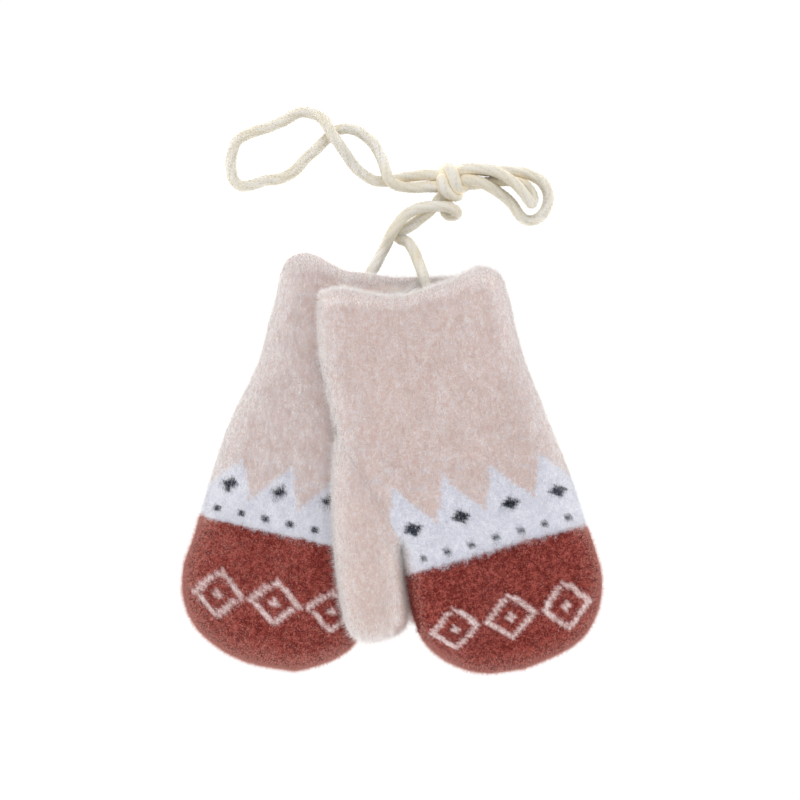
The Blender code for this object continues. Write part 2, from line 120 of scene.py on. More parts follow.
def paintPoints(piece, name, colours):
    layer = piece.data.color_attributes.new(name, "FLOAT_COLOR", "POINT")
    layer.data.foreach_set("color", np.column_stack([colours, np.ones(len(colours))]).ravel())


def paintNumbers(piece, name, values):
    layer = piece.data.attributes.new(name, "FLOAT", "POINT")
    layer.data.foreach_set("value", np.asarray(values, np.float32))


def cloudy(points, size, seed):
    # soft random swells, -1 to 1, the same on every run
    return np.array([noise.noise(Vector((x / size, y / size, z / size + seed)))
                     for x, y, z in points])


def newMaterial(name, looks):
    # a material with these values on the shader's own sockets
    material = bpy.data.materials.new(name)
    material.use_nodes = True
    shader = material.node_tree.nodes["Principled BSDF"]
    for socket, value in looks.items():
        shader.inputs[socket].default_value = value
    return material, material.node_tree, shader


def addNode(tree, kind, values=None, **settings):
    node = tree.nodes.new(kind)
    for name, value in settings.items():
        setattr(node, name, value)
    for name, value in (values or {}).items():
        node.inputs[name].default_value = value
    return node


def wire(tree, source, output, target, entry):
    tree.links.new(source.outputs[output], target.inputs[entry])


def blendColours(tree, amount, first, second, blend="MIX"):
    # mixes two colours, each a colour or another node's output
    node = addNode(tree, "ShaderNodeMix", data_type="RGBA", blend_type=blend)
    for socket, value in ((node.inputs[0], amount), (node.inputs[6], first), (node.inputs[7], second)):
        if isinstance(value, bpy.types.NodeSocket):
            tree.links.new(value, socket)
        elif isinstance(value, tuple):
            socket.default_value = (*value, 1)
        else:
            socket.default_value = value
    return node.outputs[2]


# yarn shades: a few of each colour, for the loose fibres

yarns = {   # the yarn itself, its shaded depth, its brushed ends, and the haze of loose hair; the depth also serves as painted shade, the ends and the haze as painted light
    "pink": [(0.54, 0.445, 0.425), (0.53, 0.395, 0.36), (0.59, 0.535, 0.535), (0.75, 0.725, 0.715)],
    "thumbPink": [(0.56, 0.455, 0.425), (0.54, 0.395, 0.355), (0.615, 0.55, 0.54), (0.77, 0.745, 0.73)],
    # a light pink painted where the mouths, the rims and the folds lie in shade: painted light, standing in
    # for light through the knit
    "mouthPink": [(0.76, 0.665, 0.62), (0.74, 0.60, 0.54), (0.79, 0.725, 0.695), (0.82, 0.795, 0.785)],
    "snow": [(0.575, 0.58, 0.645), (0.50, 0.51, 0.58), (0.66, 0.66, 0.71), (0.78, 0.78, 0.81)],
    "charcoal": [(0.012, 0.013, 0.020), (0.005, 0.006, 0.009), (0.05, 0.057, 0.078), (0.16, 0.17, 0.21)],
    "rust": [(0.165, 0.009, 0.006), (0.092, 0.005, 0.003), (0.325, 0.068, 0.052), (0.52, 0.26, 0.22)],
    "frost": [(0.58, 0.45, 0.43), (0.42, 0.26, 0.24), (0.70, 0.61, 0.61), (0.76, 0.69, 0.69)],
    "cream": [(0.50, 0.485, 0.445), (0.49, 0.44, 0.36), (0.52, 0.51, 0.475), (0.55, 0.545, 0.52)],
}
yarnNames = list(yarns)
shadeCount = 4
fibreLook = {"Roughness": 0.9, "Sheen Roughness": 0.5}
fibreShine = (0.2, 0.3)                                        # gloss and sheen
darkShine = {"rust": (0.10, 0.05), "charcoal": (0.03, 0.0)}    # the same for the dark yarns


def fibreMaterials():
    made = []
    for name in yarnNames:
        gloss, sheen = darkShine.get(name, fibreShine)
        shine = {"Specular IOR Level": gloss, "Sheen Weight": sheen, "Sheen Tint": (*yarns[name][2], 1)}
        for number, shade in enumerate(yarns[name]):
            looks = {**fibreLook, **shine, "Base Color": (*shade, 1)}
            material = newMaterial(f"{name}Fibre{number + 1}", looks)[0]
            material.diffuse_color = (*shade, 1)
            made.append(material)
    return made


fibres = fibreMaterials()
print("the yarns are dyed")


# the cord, one knitted tube from mouth to mouth

cord = {
    "diameter": 3.6 * mm,
    "ringStep": 0.42 * mm,
    "routeStep": 0.02,      # of the way from one point of the route to the next
    "around": 20,
    "wales": 5,             # columns of stitches round it
    "stitch": 1.5 * mm,     # height of a stitch
    "stitchLean": 0.55,     # how far a stitch leans over in the furrow, in stitches
    "twist": 26.0,          # turns in a metre
    # depths as shares of the radius
    "full": 1.03,
    "waleDepth": 0.09,
    "stitchDepth": 0.10,
    "uneven": (0.05, 0.006),         # and over what length, m
    "knotAt": (0.0207, 0.0980, 0.0058),
    "knotFull": (0.34, 0.0050),      # how much fuller it lies in the knot, and how far round it
    "clear": 0.00005,                # off the floor
    # colours: the yarn on top, painted shade in its furrows, on its sides and underneath, and painted light
    # where passes touch
    "light": (0.58, 0.565, 0.535),
    "shade": (0.53, 0.475, 0.38),
    "shadeShares": (0.55, 0.45),     # how much the columns and the stitches count in it
    "under": (0.79, 0.77, 0.70),     # painted shade on its sides and underside, against its top
    "underFrom": 1.25,
    "creviceLight": (0.76, 0.65, 0.455),  # painted warm light in the crevices where two passes lie against each other
    "creviceLightReach": 1.1,               # up to this many radii away
    "ownPass": 14 * mm,              # nearer than this along the cord is the same pass
    # over which stitch heights the painted shade of the furrows turns to the yarn's own colour
    "hollows": {"From Min": 0.1, "From Max": 0.6},
    "flecks": {"Scale": 1500.0, "Detail": 3.0, "Roughness": 0.6},
    "clouds": {"Scale": 90.0, "Detail": 2.0},
    "cloudTones": ((0.3, (0.94, 0.90, 0.80, 1)), (0.7, (1, 1, 1, 1))),
    "relief": {"Strength": 0.3, "Distance": 0.0003},
    "finish": {"Roughness": 0.88, "Specular IOR Level": 0.25, "Sheen Weight": 0.12,
               # light sinks into the soft yarn and comes out again
               "Subsurface Weight": 0.4, "Subsurface Radius": (1.0, 0.85, 0.65),
               "Subsurface Scale": 0.0014},
    # the loose fibres on it, in mm, and how many of them have each shade
    "fuzz": {"count": 11000, "long": (0.5, 1.3), "rise": 0.16, "most": 0.7, "wide": (0.05, 0.085),
             "sunk": 0.98, "along": 0.8, "shades": [0.45, 0.2, 0.25, 0.1]},
}
cordRoute = [
    # from the left mouth up to the knot
    (-0.0108, 0.0598, 0.0049), (-0.0081, 0.0655, 0.0048), (-0.0050, 0.0710, 0.0042),
    (-0.0024, 0.0759, 0.0042), (-0.0003, 0.0802, 0.0060), (0.0020, 0.0839, 0.0062),
    (0.0048, 0.0871, 0.0054), (0.0082, 0.0892, 0.0054), (0.0123, 0.0902, 0.0062),
    (0.0164, 0.0904, 0.0064), (0.0198, 0.0900, 0.0066), (0.0221, 0.0891, 0.0058),
    (0.0229, 0.0880, 0.0042), (0.0217, 0.0873, 0.0025), (0.0199, 0.0876, 0.0019),
    (0.0190, 0.0890, 0.0019), (0.0193, 0.0908, 0.0019),
    # over the knot's front
    (0.0197, 0.0936, 0.0018), (0.0194, 0.0967, 0.0018), (0.0186, 0.1002, 0.0018),
    (0.0186, 0.1026, 0.0026), (0.0197, 0.1036, 0.0048), (0.0208, 0.1028, 0.0068),
    (0.0215, 0.1008, 0.0073), (0.0221, 0.0986, 0.0071), (0.0229, 0.0968, 0.0060),
    (0.0244, 0.0970, 0.0042), (0.0266, 0.0982, 0.0024),
    # the small loop
    (0.0300, 0.0985, 0.0019), (0.0344, 0.0991, 0.0019), (0.0393, 0.0996, 0.0020),
    (0.0436, 0.0996, 0.0019), (0.0468, 0.0983, 0.0019), (0.0489, 0.0961, 0.0020),
    (0.0498, 0.0935, 0.0027), (0.0493, 0.0915, 0.0045), (0.0479, 0.0929, 0.0058),
    (0.0457, 0.0959, 0.0060), (0.0429, 0.0987, 0.0060), (0.0393, 0.1012, 0.0060),
    (0.0351, 0.1029, 0.0060), (0.0302, 0.1035, 0.0060), (0.0256, 0.1032, 0.0060),
    # through the knot
    (0.0225, 0.1021, 0.0050), (0.0185, 0.1016, 0.0046),
    # the loop on the left side
    (0.0148, 0.1014, 0.0044), (0.0114, 0.1015, 0.0036), (0.0065, 0.1011, 0.0024),
    (0.0023, 0.1003, 0.0019), (-0.0016, 0.0994, 0.0019), (-0.0054, 0.0996, 0.0019),
    (-0.0091, 0.1013, 0.0019), (-0.0121, 0.1037, 0.0019), (-0.0149, 0.1070, 0.0026),
    (-0.0172, 0.1105, 0.0046), (-0.0198, 0.1140, 0.0060), (-0.0220, 0.1178, 0.0060),
    (-0.0242, 0.1212, 0.0044), (-0.0274, 0.1231, 0.0026), (-0.0310, 0.1239, 0.0019),
    (-0.0342, 0.1230, 0.0019), (-0.0378, 0.1209, 0.0019), (-0.0420, 0.1190, 0.0019),
    (-0.0469, 0.1174, 0.0019), (-0.0516, 0.1157, 0.0019), (-0.0549, 0.1130, 0.0019),
    (-0.0564, 0.1084, 0.0019), (-0.0566, 0.1039, 0.0019), (-0.0556, 0.0999, 0.0019),
    (-0.0527, 0.0978, 0.0019), (-0.0492, 0.0982, 0.0019), (-0.0450, 0.0996, 0.0019),
    (-0.0397, 0.1003, 0.0019), (-0.0360, 0.1018, 0.0019), (-0.0328, 0.1045, 0.0019),
    (-0.0298, 0.1079, 0.0019), (-0.0262, 0.1111, 0.0019), (-0.0231, 0.1142, 0.0019),
    (-0.0205, 0.1167, 0.0019), (-0.0177, 0.1178, 0.0019), (-0.0145, 0.1179, 0.0019),
    (-0.0109, 0.1165, 0.0019), (-0.0075, 0.1139, 0.0022), (-0.0048, 0.1102, 0.0028),
    (-0.0030, 0.1062, 0.0042), (-0.0020, 0.1028, 0.0059), (-0.0009, 0.0998, 0.0061),
    (0.0016, 0.0979, 0.0052), (0.0058, 0.0971, 0.0040), (0.0107, 0.0972, 0.0040),
    (0.0148, 0.0974, 0.0044),
    # under the knot
    (0.0176, 0.0976, 0.0042), (0.0201, 0.0977, 0.0044), (0.0224, 0.0992, 0.0034),
    (0.0242, 0.1016, 0.0021),
    # the big loop
    (0.0262, 0.1034, 0.0019), (0.0303, 0.1034, 0.0019), (0.0362, 0.1030, 0.0019),
    (0.0420, 0.1028, 0.0019), (0.0477, 0.1021, 0.0019), (0.0524, 0.0997, 0.0019),
    (0.0550, 0.0958, 0.0019), (0.0550, 0.0916, 0.0019), (0.0534, 0.0880, 0.0019),
    (0.0504, 0.0859, 0.0019), (0.0473, 0.0858, 0.0019), (0.0449, 0.0879, 0.0019),
    (0.0428, 0.0910, 0.0019), (0.0405, 0.0935, 0.0019), (0.0378, 0.0953, 0.0030),
    (0.0340, 0.0976, 0.0051), (0.0298, 0.0992, 0.0062), (0.0262, 0.0997, 0.0062),
    # round the knot's left side
    (0.0240, 0.0996, 0.0046), (0.0212, 0.1001, 0.0042), (0.0189, 0.1004, 0.0052),
    (0.0180, 0.0994, 0.0066), (0.0183, 0.0975, 0.0070), (0.0194, 0.0957, 0.0066),
    (0.0210, 0.0946, 0.0056), (0.0230, 0.0943, 0.0040), (0.0218, 0.0948, 0.0023),
    (0.0192, 0.0944, 0.0022),
    # from the knot down to the right mouth
    (0.0171, 0.0934, 0.0023), (0.0156, 0.0914, 0.0020), (0.0132, 0.0888, 0.0019),
    (0.0103, 0.0863, 0.0019), (0.0068, 0.0838, 0.0019), (0.0036, 0.0819, 0.0019),
    (0.0020, 0.0804, 0.0019), (0.0032, 0.0790, 0.0024), (0.0057, 0.0779, 0.0034),
    (0.0077, 0.0749, 0.0056), (0.0093, 0.0709, 0.0092), (0.0108, 0.0665, 0.0120),
    (0.0123, 0.0619, 0.0123), (0.0136, 0.0576, 0.0123),
]


def cordMiddle():
    # evenly spaced points along the route
    fine = alongRows(cordRoute, np.arange(0, len(cordRoute) - 1 + 1e-9, cord["routeStep"]))
    run = runAlong(fine)
    count = int(round(run[-1] / cord["ringStep"])) + 1
    at = np.linspace(0, run[-1], count)
    middle = np.column_stack([np.interp(at, run, fine[:, i]) for i in range(3)])
    middle[:, 2] = np.maximum(middle[:, 2], cord["diameter"] / 2)
    return middle, run[-1]


def cordFrames(middle):
    # two directions across the cord at each ring, carried along without turning
    ahead = unit(np.gradient(middle, axis=0))
    side = unit(np.cross(ahead[0], [0, 0, 1]))
    sides = []
    for way in ahead:
        side = unit(side - way * (side @ way))
        sides.append(side)
    sides = np.array(sides)
    return sides, np.cross(ahead, sides)


def yarnMaterial():
    # cream yarn, with painted shade in its furrows and on its sides and underneath, and painted warm light
    # in the crevices where two passes touch
    material, tree, shader = newMaterial("creamCordKnit", cord["finish"])
    hollow = addNode(tree, "ShaderNodeAttribute", attribute_name="stitchHeight")
    place = addNode(tree, "ShaderNodeTexCoord")
    flecks = addNode(tree, "ShaderNodeTexNoise", cord["flecks"])
    clouds = addNode(tree, "ShaderNodeTexNoise", cord["clouds"])
    for texture in (flecks, clouds):
        wire(tree, place, "Object", texture, "Vector")
    depth = addNode(tree, "ShaderNodeMapRange", cord["hollows"])
    wire(tree, hollow, "Fac", depth, "Value")
    colour = blendColours(tree, depth.outputs["Result"], cord["shade"], cord["light"])
    tone = addNode(tree, "ShaderNodeValToRGB")
    for stop, (at, tint) in zip(tone.color_ramp.elements, cord["cloudTones"]):
        stop.position = at
        stop.color = tint
    wire(tree, clouds, "Fac", tone, "Fac")
    colour = blendColours(tree, 1.0, colour, tone.outputs["Color"], "MULTIPLY")
    down = addNode(tree, "ShaderNodeAttribute", attribute_name="underShade")
    below = blendColours(tree, 1.0, colour, cord["under"], "MULTIPLY")
    colour = blendColours(tree, down.outputs["Fac"], colour, below)
    creviceLit = addNode(tree, "ShaderNodeAttribute", attribute_name="creviceLight")
    colour = blendColours(tree, creviceLit.outputs["Fac"], colour, cord["creviceLight"])
    tree.links.new(colour, shader.inputs["Base Color"])
    relief = addNode(tree, "ShaderNodeBump", cord["relief"])
    wire(tree, flecks, "Fac", relief, "Height")
    wire(tree, relief, "Normal", shader, "Normal")
    return material


def creviceLightAt(points, middle):
    # how much painted light goes in a crevice: 1 where another pass of the cord lies against this one, 0
    # out of reach
    ring = np.repeat(np.arange(len(middle)), cord["around"])
    others = np.arange(0, len(middle), 3)
    nearest = []
    for start in range(0, len(points), atOnce):
        rows = slice(start, start + atOnce)
        apart = np.linalg.norm(points[rows, None] - middle[None, others], axis=2)
        apart[np.abs(ring[rows, None] - others) < cord["ownPass"] / cord["ringStep"]] = 1.0
        nearest.append(apart.min(1))
    gap = np.concatenate(nearest) / (cord["diameter"] / 2) - 1
    return np.clip(1 - gap / cord["creviceLightReach"], 0, 1)


def knitCord():
    middle, length = cordMiddle()
    sides, ups = cordFrames(middle)
    count, around = len(middle), cord["around"]
    run = np.linspace(0, length, count)
    turn = np.arange(around) * 2 * math.pi / around
    angle = turn[None] + 2 * math.pi * cord["twist"] * run[:, None]
    wale = turn[None] * cord["wales"] / (2 * math.pi)
    off = np.abs(wale % 1 - 0.5) * 2          # 0 at the middle of a column, 1 in the furrow
    lean = run[:, None] / cord["stitch"] + cord["stitchLean"] * off
    column = np.sqrt(1 - off**2 * 0.98)
    bead = 0.5 + 0.5 * np.cos(2 * math.pi * lean)
    uneven, over = cord["uneven"]
    wobble = uneven * cloudy(middle, over, 3.0)
    full, over = cord["knotFull"]
    knot = full * bell(np.linalg.norm(middle - cord["knotAt"], axis=1), over)
    reach = cord["full"] + knot[:, None] + cord["waleDepth"] * (column - 0.5)
    reach = reach + cord["stitchDepth"] * (bead - 0.5) + wobble[:, None]
    reach = cord["diameter"] / 2 * reach
    across = np.cos(angle)[..., None] * sides[:, None] + np.sin(angle)[..., None] * ups[:, None]
    points = (middle[:, None] + across * reach[..., None]).reshape(-1, 3)
    points[:, 2] = np.maximum(points[:, 2], cord["clear"])
    faces = []
    for here in range(0, (count - 1) * around, around):
        for j in range(around):
            k = (j + 1) % around
            faces.append([here + j, here + k, here + around + k, here + around + j])
    faces.append(list(range(around))[::-1])
    faces.append([(count - 1) * around + j for j in range(around)])
    piece = newMesh("cord", points, faces, [yarnMaterial()])
    columns, stitches = cord["shadeShares"]
    # stitch heights for the painted shade in the furrows, painted light in the crevices between passes, and
    # painted shade on the sides and underside
    paintNumbers(piece, "stitchHeight", (columns * column + stitches * bead).ravel())
    paintNumbers(piece, "creviceLight", creviceLightAt(points, middle))
    paintNumbers(piece, "underShade", np.clip(cord["underFrom"] * (1 - across[..., 2]), 0, 1).ravel())
    return piece, middle, length, across, reach


fibreForm = {   # a loose fibre: how it curls, bends up, falls and tilts, then its root and its taper
    "curl": 0.7, "lift": (0.55, 1.0), "fall": (0.1, 1.25), "tilt": 0.5,
    "sunk": 0.1, "taper": 0.9, "shortest": 0.04, "clear": 0.00004,   # sunk in mm, clear of the floor in m
}


def fibreMesh(name, roots, normals, ways, long, rise, wide, slots, seed, bent=True):
    # loose fibres lying on what they grow from: thin tapering ribbons, bent once, or straight needles
    dice = np.random.RandomState(seed)
    count = len(roots)
    ways = unit(ways - normals * (ways * normals).sum(1)[:, None])
    aside = np.cross(normals, ways)
    curl = dice.uniform(-fibreForm["curl"], fibreForm["curl"], count)[:, None]
    tipWay = ways * np.cos(curl) + aside * np.sin(curl)
    lift = dice.uniform(*fibreForm["lift"], count)[:, None]
    fall = dice.uniform(*fibreForm["fall"], count)[:, None]
    tilt = dice.uniform(-fibreForm["tilt"], fibreForm["tilt"], count)[:, None]
    half = unit(aside + normals * tilt) * wide[:, None] / 2
    base = roots - normals * fibreForm["sunk"] * mm
    if bent:
        middle = roots + ways * long[:, None] * 0.5 + normals * rise[:, None] * lift
        tip = roots + tipWay * long[:, None] + normals * rise[:, None] * fall
        narrow = half * fibreForm["taper"]
        points = np.stack([base - half, base + half, middle + narrow, middle - narrow, tip], 1)
    else:
        along = np.sqrt(np.maximum(long**2 - rise**2, fibreForm["shortest"] * long**2))
        tip = roots + ways * along[:, None] + normals * rise[:, None]
        points = np.stack([base - half, base + half, tip], 1)
    each = points.shape[1]
    points = points.reshape(-1, 3)
    points[:, 2] = np.maximum(points[:, 2], fibreForm["clear"])
    first = np.arange(count) * each
    if bent:
        faces = np.column_stack([first, first + 1, first + 2, first + 3]).tolist()
        faces += np.column_stack([first + 3, first + 2, first + 4]).tolist()
        slots = np.concatenate([slots, slots])
    else:
        faces = np.column_stack([first, first + 1, first + 2]).tolist()
    return newMesh(name, points, faces, fibres, slots)


def growCordFuzz(middle, across, reach):
    fuzz = cord["fuzz"]
    dice = np.random.RandomState(11)
    count = fuzz["count"]
    ring = dice.randint(2, len(middle) - 2, count)
    place = dice.randint(0, cord["around"], count)
    normals = across[ring, place]
    roots = middle[ring] + normals * reach[ring, place][:, None] * fuzz["sunk"]
    ahead = unit(middle[ring + 1] - middle[ring - 1])
    ways = ahead * dice.normal(0, fuzz["along"], (count, 1)) + dice.normal(0, 1, (count, 3))
    long = dice.uniform(*fuzz["long"], count) * mm
    rise = np.minimum(dice.exponential(fuzz["rise"], count), fuzz["most"]) * mm
    wide = dice.uniform(*fuzz["wide"], count) * mm
    slots = yarnNames.index("cream") * shadeCount + dice.choice(shadeCount, count, p=fuzz["shades"])
    return fibreMesh("cordFuzz", roots, normals, ways, long, rise, wide, slots, 12)


cordPiece, cordLine, cordLength, cordAcross, cordReach = knitCord()
cordFuzz = growCordFuzz(cordLine, cordAcross, cordReach)
cordNodes = ["cord_left_leg", "cord_small_loop", "cord_side_loop", "cord_big_loop",
             "cord_right_leg", "cord_knot"]
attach(cordPiece, "root")
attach(cordFuzz, "root")
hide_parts(*cordNodes)
print(f"the cord is {cordLength:.3f} m long")


# the two mittens: each is a sleeve of knit with a thumb set on, drawn as the right one, in mm
# the left one is drawn the same way and then mirrored

handShape = {
    "wall": 1.7,            # the brushed knit, seen at the mouth
    "thickness": 7.0,       # front and back together
    "gape": 2.8,            # how much more the mouth stands open where the cord goes in
    "gapeAt": (10.0, 62.0),
    "gapeReach": (13.0, 24.0),
    "frontRound": 7.0,      # how far in from a folded edge the front still rounds
    "underRound": 3.5,
    "edgeLevel": 0.45,      # height of the folded edge, of the thickness
    "lip": 1.0,             # rounding of the rim
    "lieGap": 0.3,          # between the two mittens
    "stepDown": 22.0,       # over which the upper mitten comes down beside the lower one
    "rimFade": 3.0,         # rows over which the rim's rise fades, and how
    "rimFadePower": 1.5,
    "rimLean": 9.0,         # degrees
    "mouthLine": (0.96, 0.04, 24),   # shares across that close the outline at the mouth
    "thumbBlend": 4.0,      # rows over which the thumb takes its own shade
    "hem": (0.45, 2.2, 3.6),         # how much the rim is fuller, how far in, and over what width
    "hemShare": {"right": 1, "left": 0.5},
}
swell = {   # soft unevenness of the front: its height, its lumps' sizes, and where it starts
    "height": 0.22, "large": 9.0, "small": 3.2, "smallShare": 0.45, "from": 4,
    "seed": {"right": 1.0, "left": 5.0}, "smallSeed": 9.0,
}
thumbRows = (5.0, 10.0)     # rows of the hand between which the thumb joins
lastRow = 18.0
lastThumbRow = 11.0
farFromRim = 99.0           # mm, for every place on a thumb

# a row for each section across the hand, from the mouth to the toe
handSections = {
    "right": [  # thumb side x, y, little finger side x, y
        (-25.0, 58.8, 39.9, 63.2), (-25.7, 49.7, 41.9, 56.0), (-25.2, 40.6, 43.6, 48.0),
        (-23.4, 30.1, 46.0, 39.2), (-21.2, 19.6, 49.0, 30.8), (-19.1, 10.9, 52.2, 23.1),
        (-13.8, 1.8, 55.1, 15.0), (-8.9, -6.7, 58.2, 8.0), (-3.7, -15.4, 61.2, 0.4),
        (0.5, -22.1, 63.6, -6.1), (3.6, -28.0, 65.4, -11.3), (5.2, -38.9, 68.6, -21.4),
        (6.2, -46.6, 71.3, -29.5), (7.9, -53.6, 73.8, -38.9), (10.5, -60.6, 73.3, -48.7),
        (15.1, -66.0, 70.0, -57.4), (21.4, -70.2, 64.2, -63.7), (28.4, -72.9, 55.7, -68.3),
        (35.4, -73.6, 46.6, -72.0)],
    "left": [
        (-24.4, 63.0, 39.1, 67.2), (-25.7, 53.2, 40.6, 58.5), (-25.1, 42.7, 43.3, 48.7),
        (-23.3, 31.2, 46.3, 37.1), (-21.2, 20.0, 50.8, 27.3), (-19.1, 10.9, 55.1, 18.6),
        (-13.8, 1.8, 58.4, 10.9), (-8.9, -6.7, 60.9, 3.5), (-3.7, -15.4, 63.1, -3.2),
        (0.5, -22.1, 64.9, -9.5), (3.5, -27.4, 66.1, -13.6), (4.3, -32.6, 67.4, -18.4),
        (5.4, -40.6, 69.8, -26.6), (7.1, -48.6, 73.1, -36.4), (9.2, -56.0, 73.2, -46.9),
        (13.1, -63.3, 69.5, -56.4), (19.4, -68.3, 62.5, -63.4), (26.8, -71.1, 53.7, -68.6),
        (34.2, -72.8, 45.0, -71.1)],
}
# a row for each section across the thumb, from the crotch to the tip
thumbSections = [  # outer x, y, hand side x, y
    (-20.5, 3.2, 3.3, -30.4), (-20.8, -4.9, 3.6, -33.6), (-20.8, -13.6, 4.0, -36.8),
    (-20.4, -22.0, 4.3, -39.9), (-19.9, -30.1, 4.7, -43.4), (-19.1, -38.2, 5.1, -46.9),
    (-18.0, -45.5, 5.5, -50.4), (-16.9, -51.8, 5.6, -53.6), (-15.4, -56.7, 4.7, -56.5),
    (-13.1, -60.0, 2.4, -58.6), (-10.3, -61.7, -0.5, -60.4), (-7.5, -62.3, -3.4, -61.6)]
thumbSpread = {"right": 0.0, "left": 22.0}   # degrees it is turned outwards about the crotch
spreadPivot = (3.6, -28.0)
spreadRows = 4.0                             # rows over which the turn comes in
# the rim of each mouth, as its rise above a straight line between its corners
rimRises = {
    "right": [  # share across from the thumb side, front, back
        (0.0, 0.8, 0.8), (0.12, 1.9, 0.8), (0.28, -1.0, -1.6), (0.43, -2.4, -1.0),
        (0.545, -0.9, 2.8), (0.64, 0.9, 3.7), (0.73, 2.4, 3.6), (0.83, 5.6, 5.2),
        (0.89, 6.4, 5.8), (0.95, 4.9, 4.5), (0.98, 3.2, 3.0), (1.0, 0.0, 0.0)],
    "left": [
        (0.0, 0.8, 0.8), (0.12, 1.4, 0.6), (0.24, 1.4, 0.2), (0.38, 0.8, -0.6),
        (0.54, 1.6, 0.4), (0.64, 2.0, 1.1), (0.72, 3.9, 3.1), (0.8, 6.4, 5.6),
        (0.88, 7.5, 6.9), (0.94, 6.4, 5.8), (0.975, 4.4, 4.0), (1.0, 0.0, 0.0)],
}


def spreadThumb(side):
    rows = []
    for number, ends in enumerate(thumbSections):
        turn = math.radians(thumbSpread[side]) * min(1.0, number / spreadRows)
        away = np.reshape(ends, (2, 2)) - spreadPivot
        x = away[:, 0] * math.cos(turn) + away[:, 1] * math.sin(turn)
        y = away[:, 1] * math.cos(turn) - away[:, 0] * math.sin(turn)
        rows.append((np.column_stack([x, y]) + spreadPivot).ravel())
    return np.array(rows)


def rimRise(side, share):
    # the rise of the front and the back, at shares across
    rows = np.array(rimRises[side])
    return alongRows(rows, np.interp(share, rows[:, 0], np.arange(len(rows))))[:, 1:]


def edgeDistance(points, line):
    # from each point to a chain of straight lines
    a, b = line[:-1], line[1:]
    nearest = []
    for start in range(0, len(points), atOnce):
        p = points[start:start + atOnce, None]
        part = ((p - a) * (b - a)).sum(2) / ((b - a)**2).sum(1)
        foot = a + np.clip(part, 0, 1)[..., None] * (b - a)
        nearest.append(np.sqrt(((p - foot)**2).sum(2)).min(1))
    return np.concatenate(nearest)


def insideLine(points, line):
    x, y = points[:, 0], points[:, 1]
    result = np.zeros(len(points), bool)
    for (ax, ay), (bx, by) in zip(line, np.roll(line, -1, 0)):
        if ay != by:
            crosses = (ay > y) != (by > y)
            result ^= crosses & (x < (bx - ax) * (y - ay) / (by - ay) + ax)
    return result


def sectionPoints(side, at, share, face):
    # points at each row and share across, face 0 for the front and 1 for the back
    ends = alongRows(handSections[side], at)
    points = ends[:, None, :2] + (ends[:, None, 2:] - ends[:, None, :2]) * share[None, :, None]
    ramp = np.clip(1 - np.asarray(at) / handShape["rimFade"], 0, 1)**handShape["rimFadePower"]
    lean = math.radians(handShape["rimLean"])
    along = np.array([-math.sin(lean), math.cos(lean)])
    return points + (ramp[:, None] * rimRise(side, share)[None, :, face])[..., None] * along


def fineRows(last):
    return np.arange(0, last + 0.01, 0.25)


def outlineOf(side):
    # round the hand, thumb and toe, once open at the mouth and once closed
    fine = fineRows(lastRow)
    rows = alongRows(handSections[side], fine)
    thumb = alongRows(spreadThumb(side), fineRows(lastThumbRow))
    line = np.vstack([rows[fine <= thumbRows[0], :2], thumb[:, :2], thumb[::-1, 2:],
                      rows[fine >= thumbRows[1], :2], rows[::-1, 2:]])
    apart = np.linalg.norm(np.diff(line, axis=0), axis=1)
    line = line[np.append(True, apart > 0.01)]
    mouth = sectionPoints(side, np.array([0.0]), np.linspace(*handShape["mouthLine"]), 0)
    return line, np.vstack([line, mouth.reshape(-1, 2)])


outlines = {side: outlineOf(side) for side in ("left", "right")}


def asDrawn(side, points):
    # places in the plane, in mm, as the right mitten is drawn
    return points[:, :2] / mm * [-1 if side == "left" else 1, 1]


def toOther(side, points):
    # mm to the other mitten, 0 where the two lie on each other
    other = outlines["left" if side == "right" else "right"][1]
    mirrored = points * [-1, 1]
    return np.where(insideLine(mirrored, other), 0, edgeDistance(mirrored, other))


def thicknessAt(points):
    away = (points - handShape["gapeAt"]) / handShape["gapeReach"]
    return handShape["thickness"] + handShape["gape"] * np.exp(-(away**2).sum(1))


def baseAt(side, points):
    # the upper mitten is carried by the lower one and bends down beside it
    if side == "left":
        return np.zeros(len(points))
    t = np.clip(1 - toOther(side, points) / handShape["stepDown"], 0, 1)
    return (thicknessAt(points * [-1, 1]) + handShape["lieGap"]) * t * t * (3 - 2 * t)


def heightsAt(side, points):
    # outer heights of the front and the back, and how far in from the folds they are
    deep = edgeDistance(points, outlines[side][0])
    full = thicknessAt(points)
    base = baseAt(side, points)
    edge = handShape["edgeLevel"] * full
    front = base + edge + (full - edge) * rounded(deep, handShape["frontRound"])
    return front, base + edge * (1 - rounded(deep, handShape["underRound"])), deep


def swellAt(side, points, deep):
    # the soft unevenness of brushed knit, none where the other mitten lies on it
    flat = np.column_stack([points, np.zeros(len(points))])
    lumps = cloudy(flat, swell["large"], swell["seed"][side])
    lumps = lumps + swell["smallShare"] * cloudy(flat, swell["small"], swell["smallSeed"])
    inward = np.clip(deep / swell["from"], 0, 1)
    bare = 1.0 if side == "right" else np.clip(toOther(side, points) / swell["from"], 0, 1)
    return swell["height"] * lumps * inward * bare


# the pattern is knitted in: a snowy zigzag, small charcoal stars, a rust toe with pale diamonds

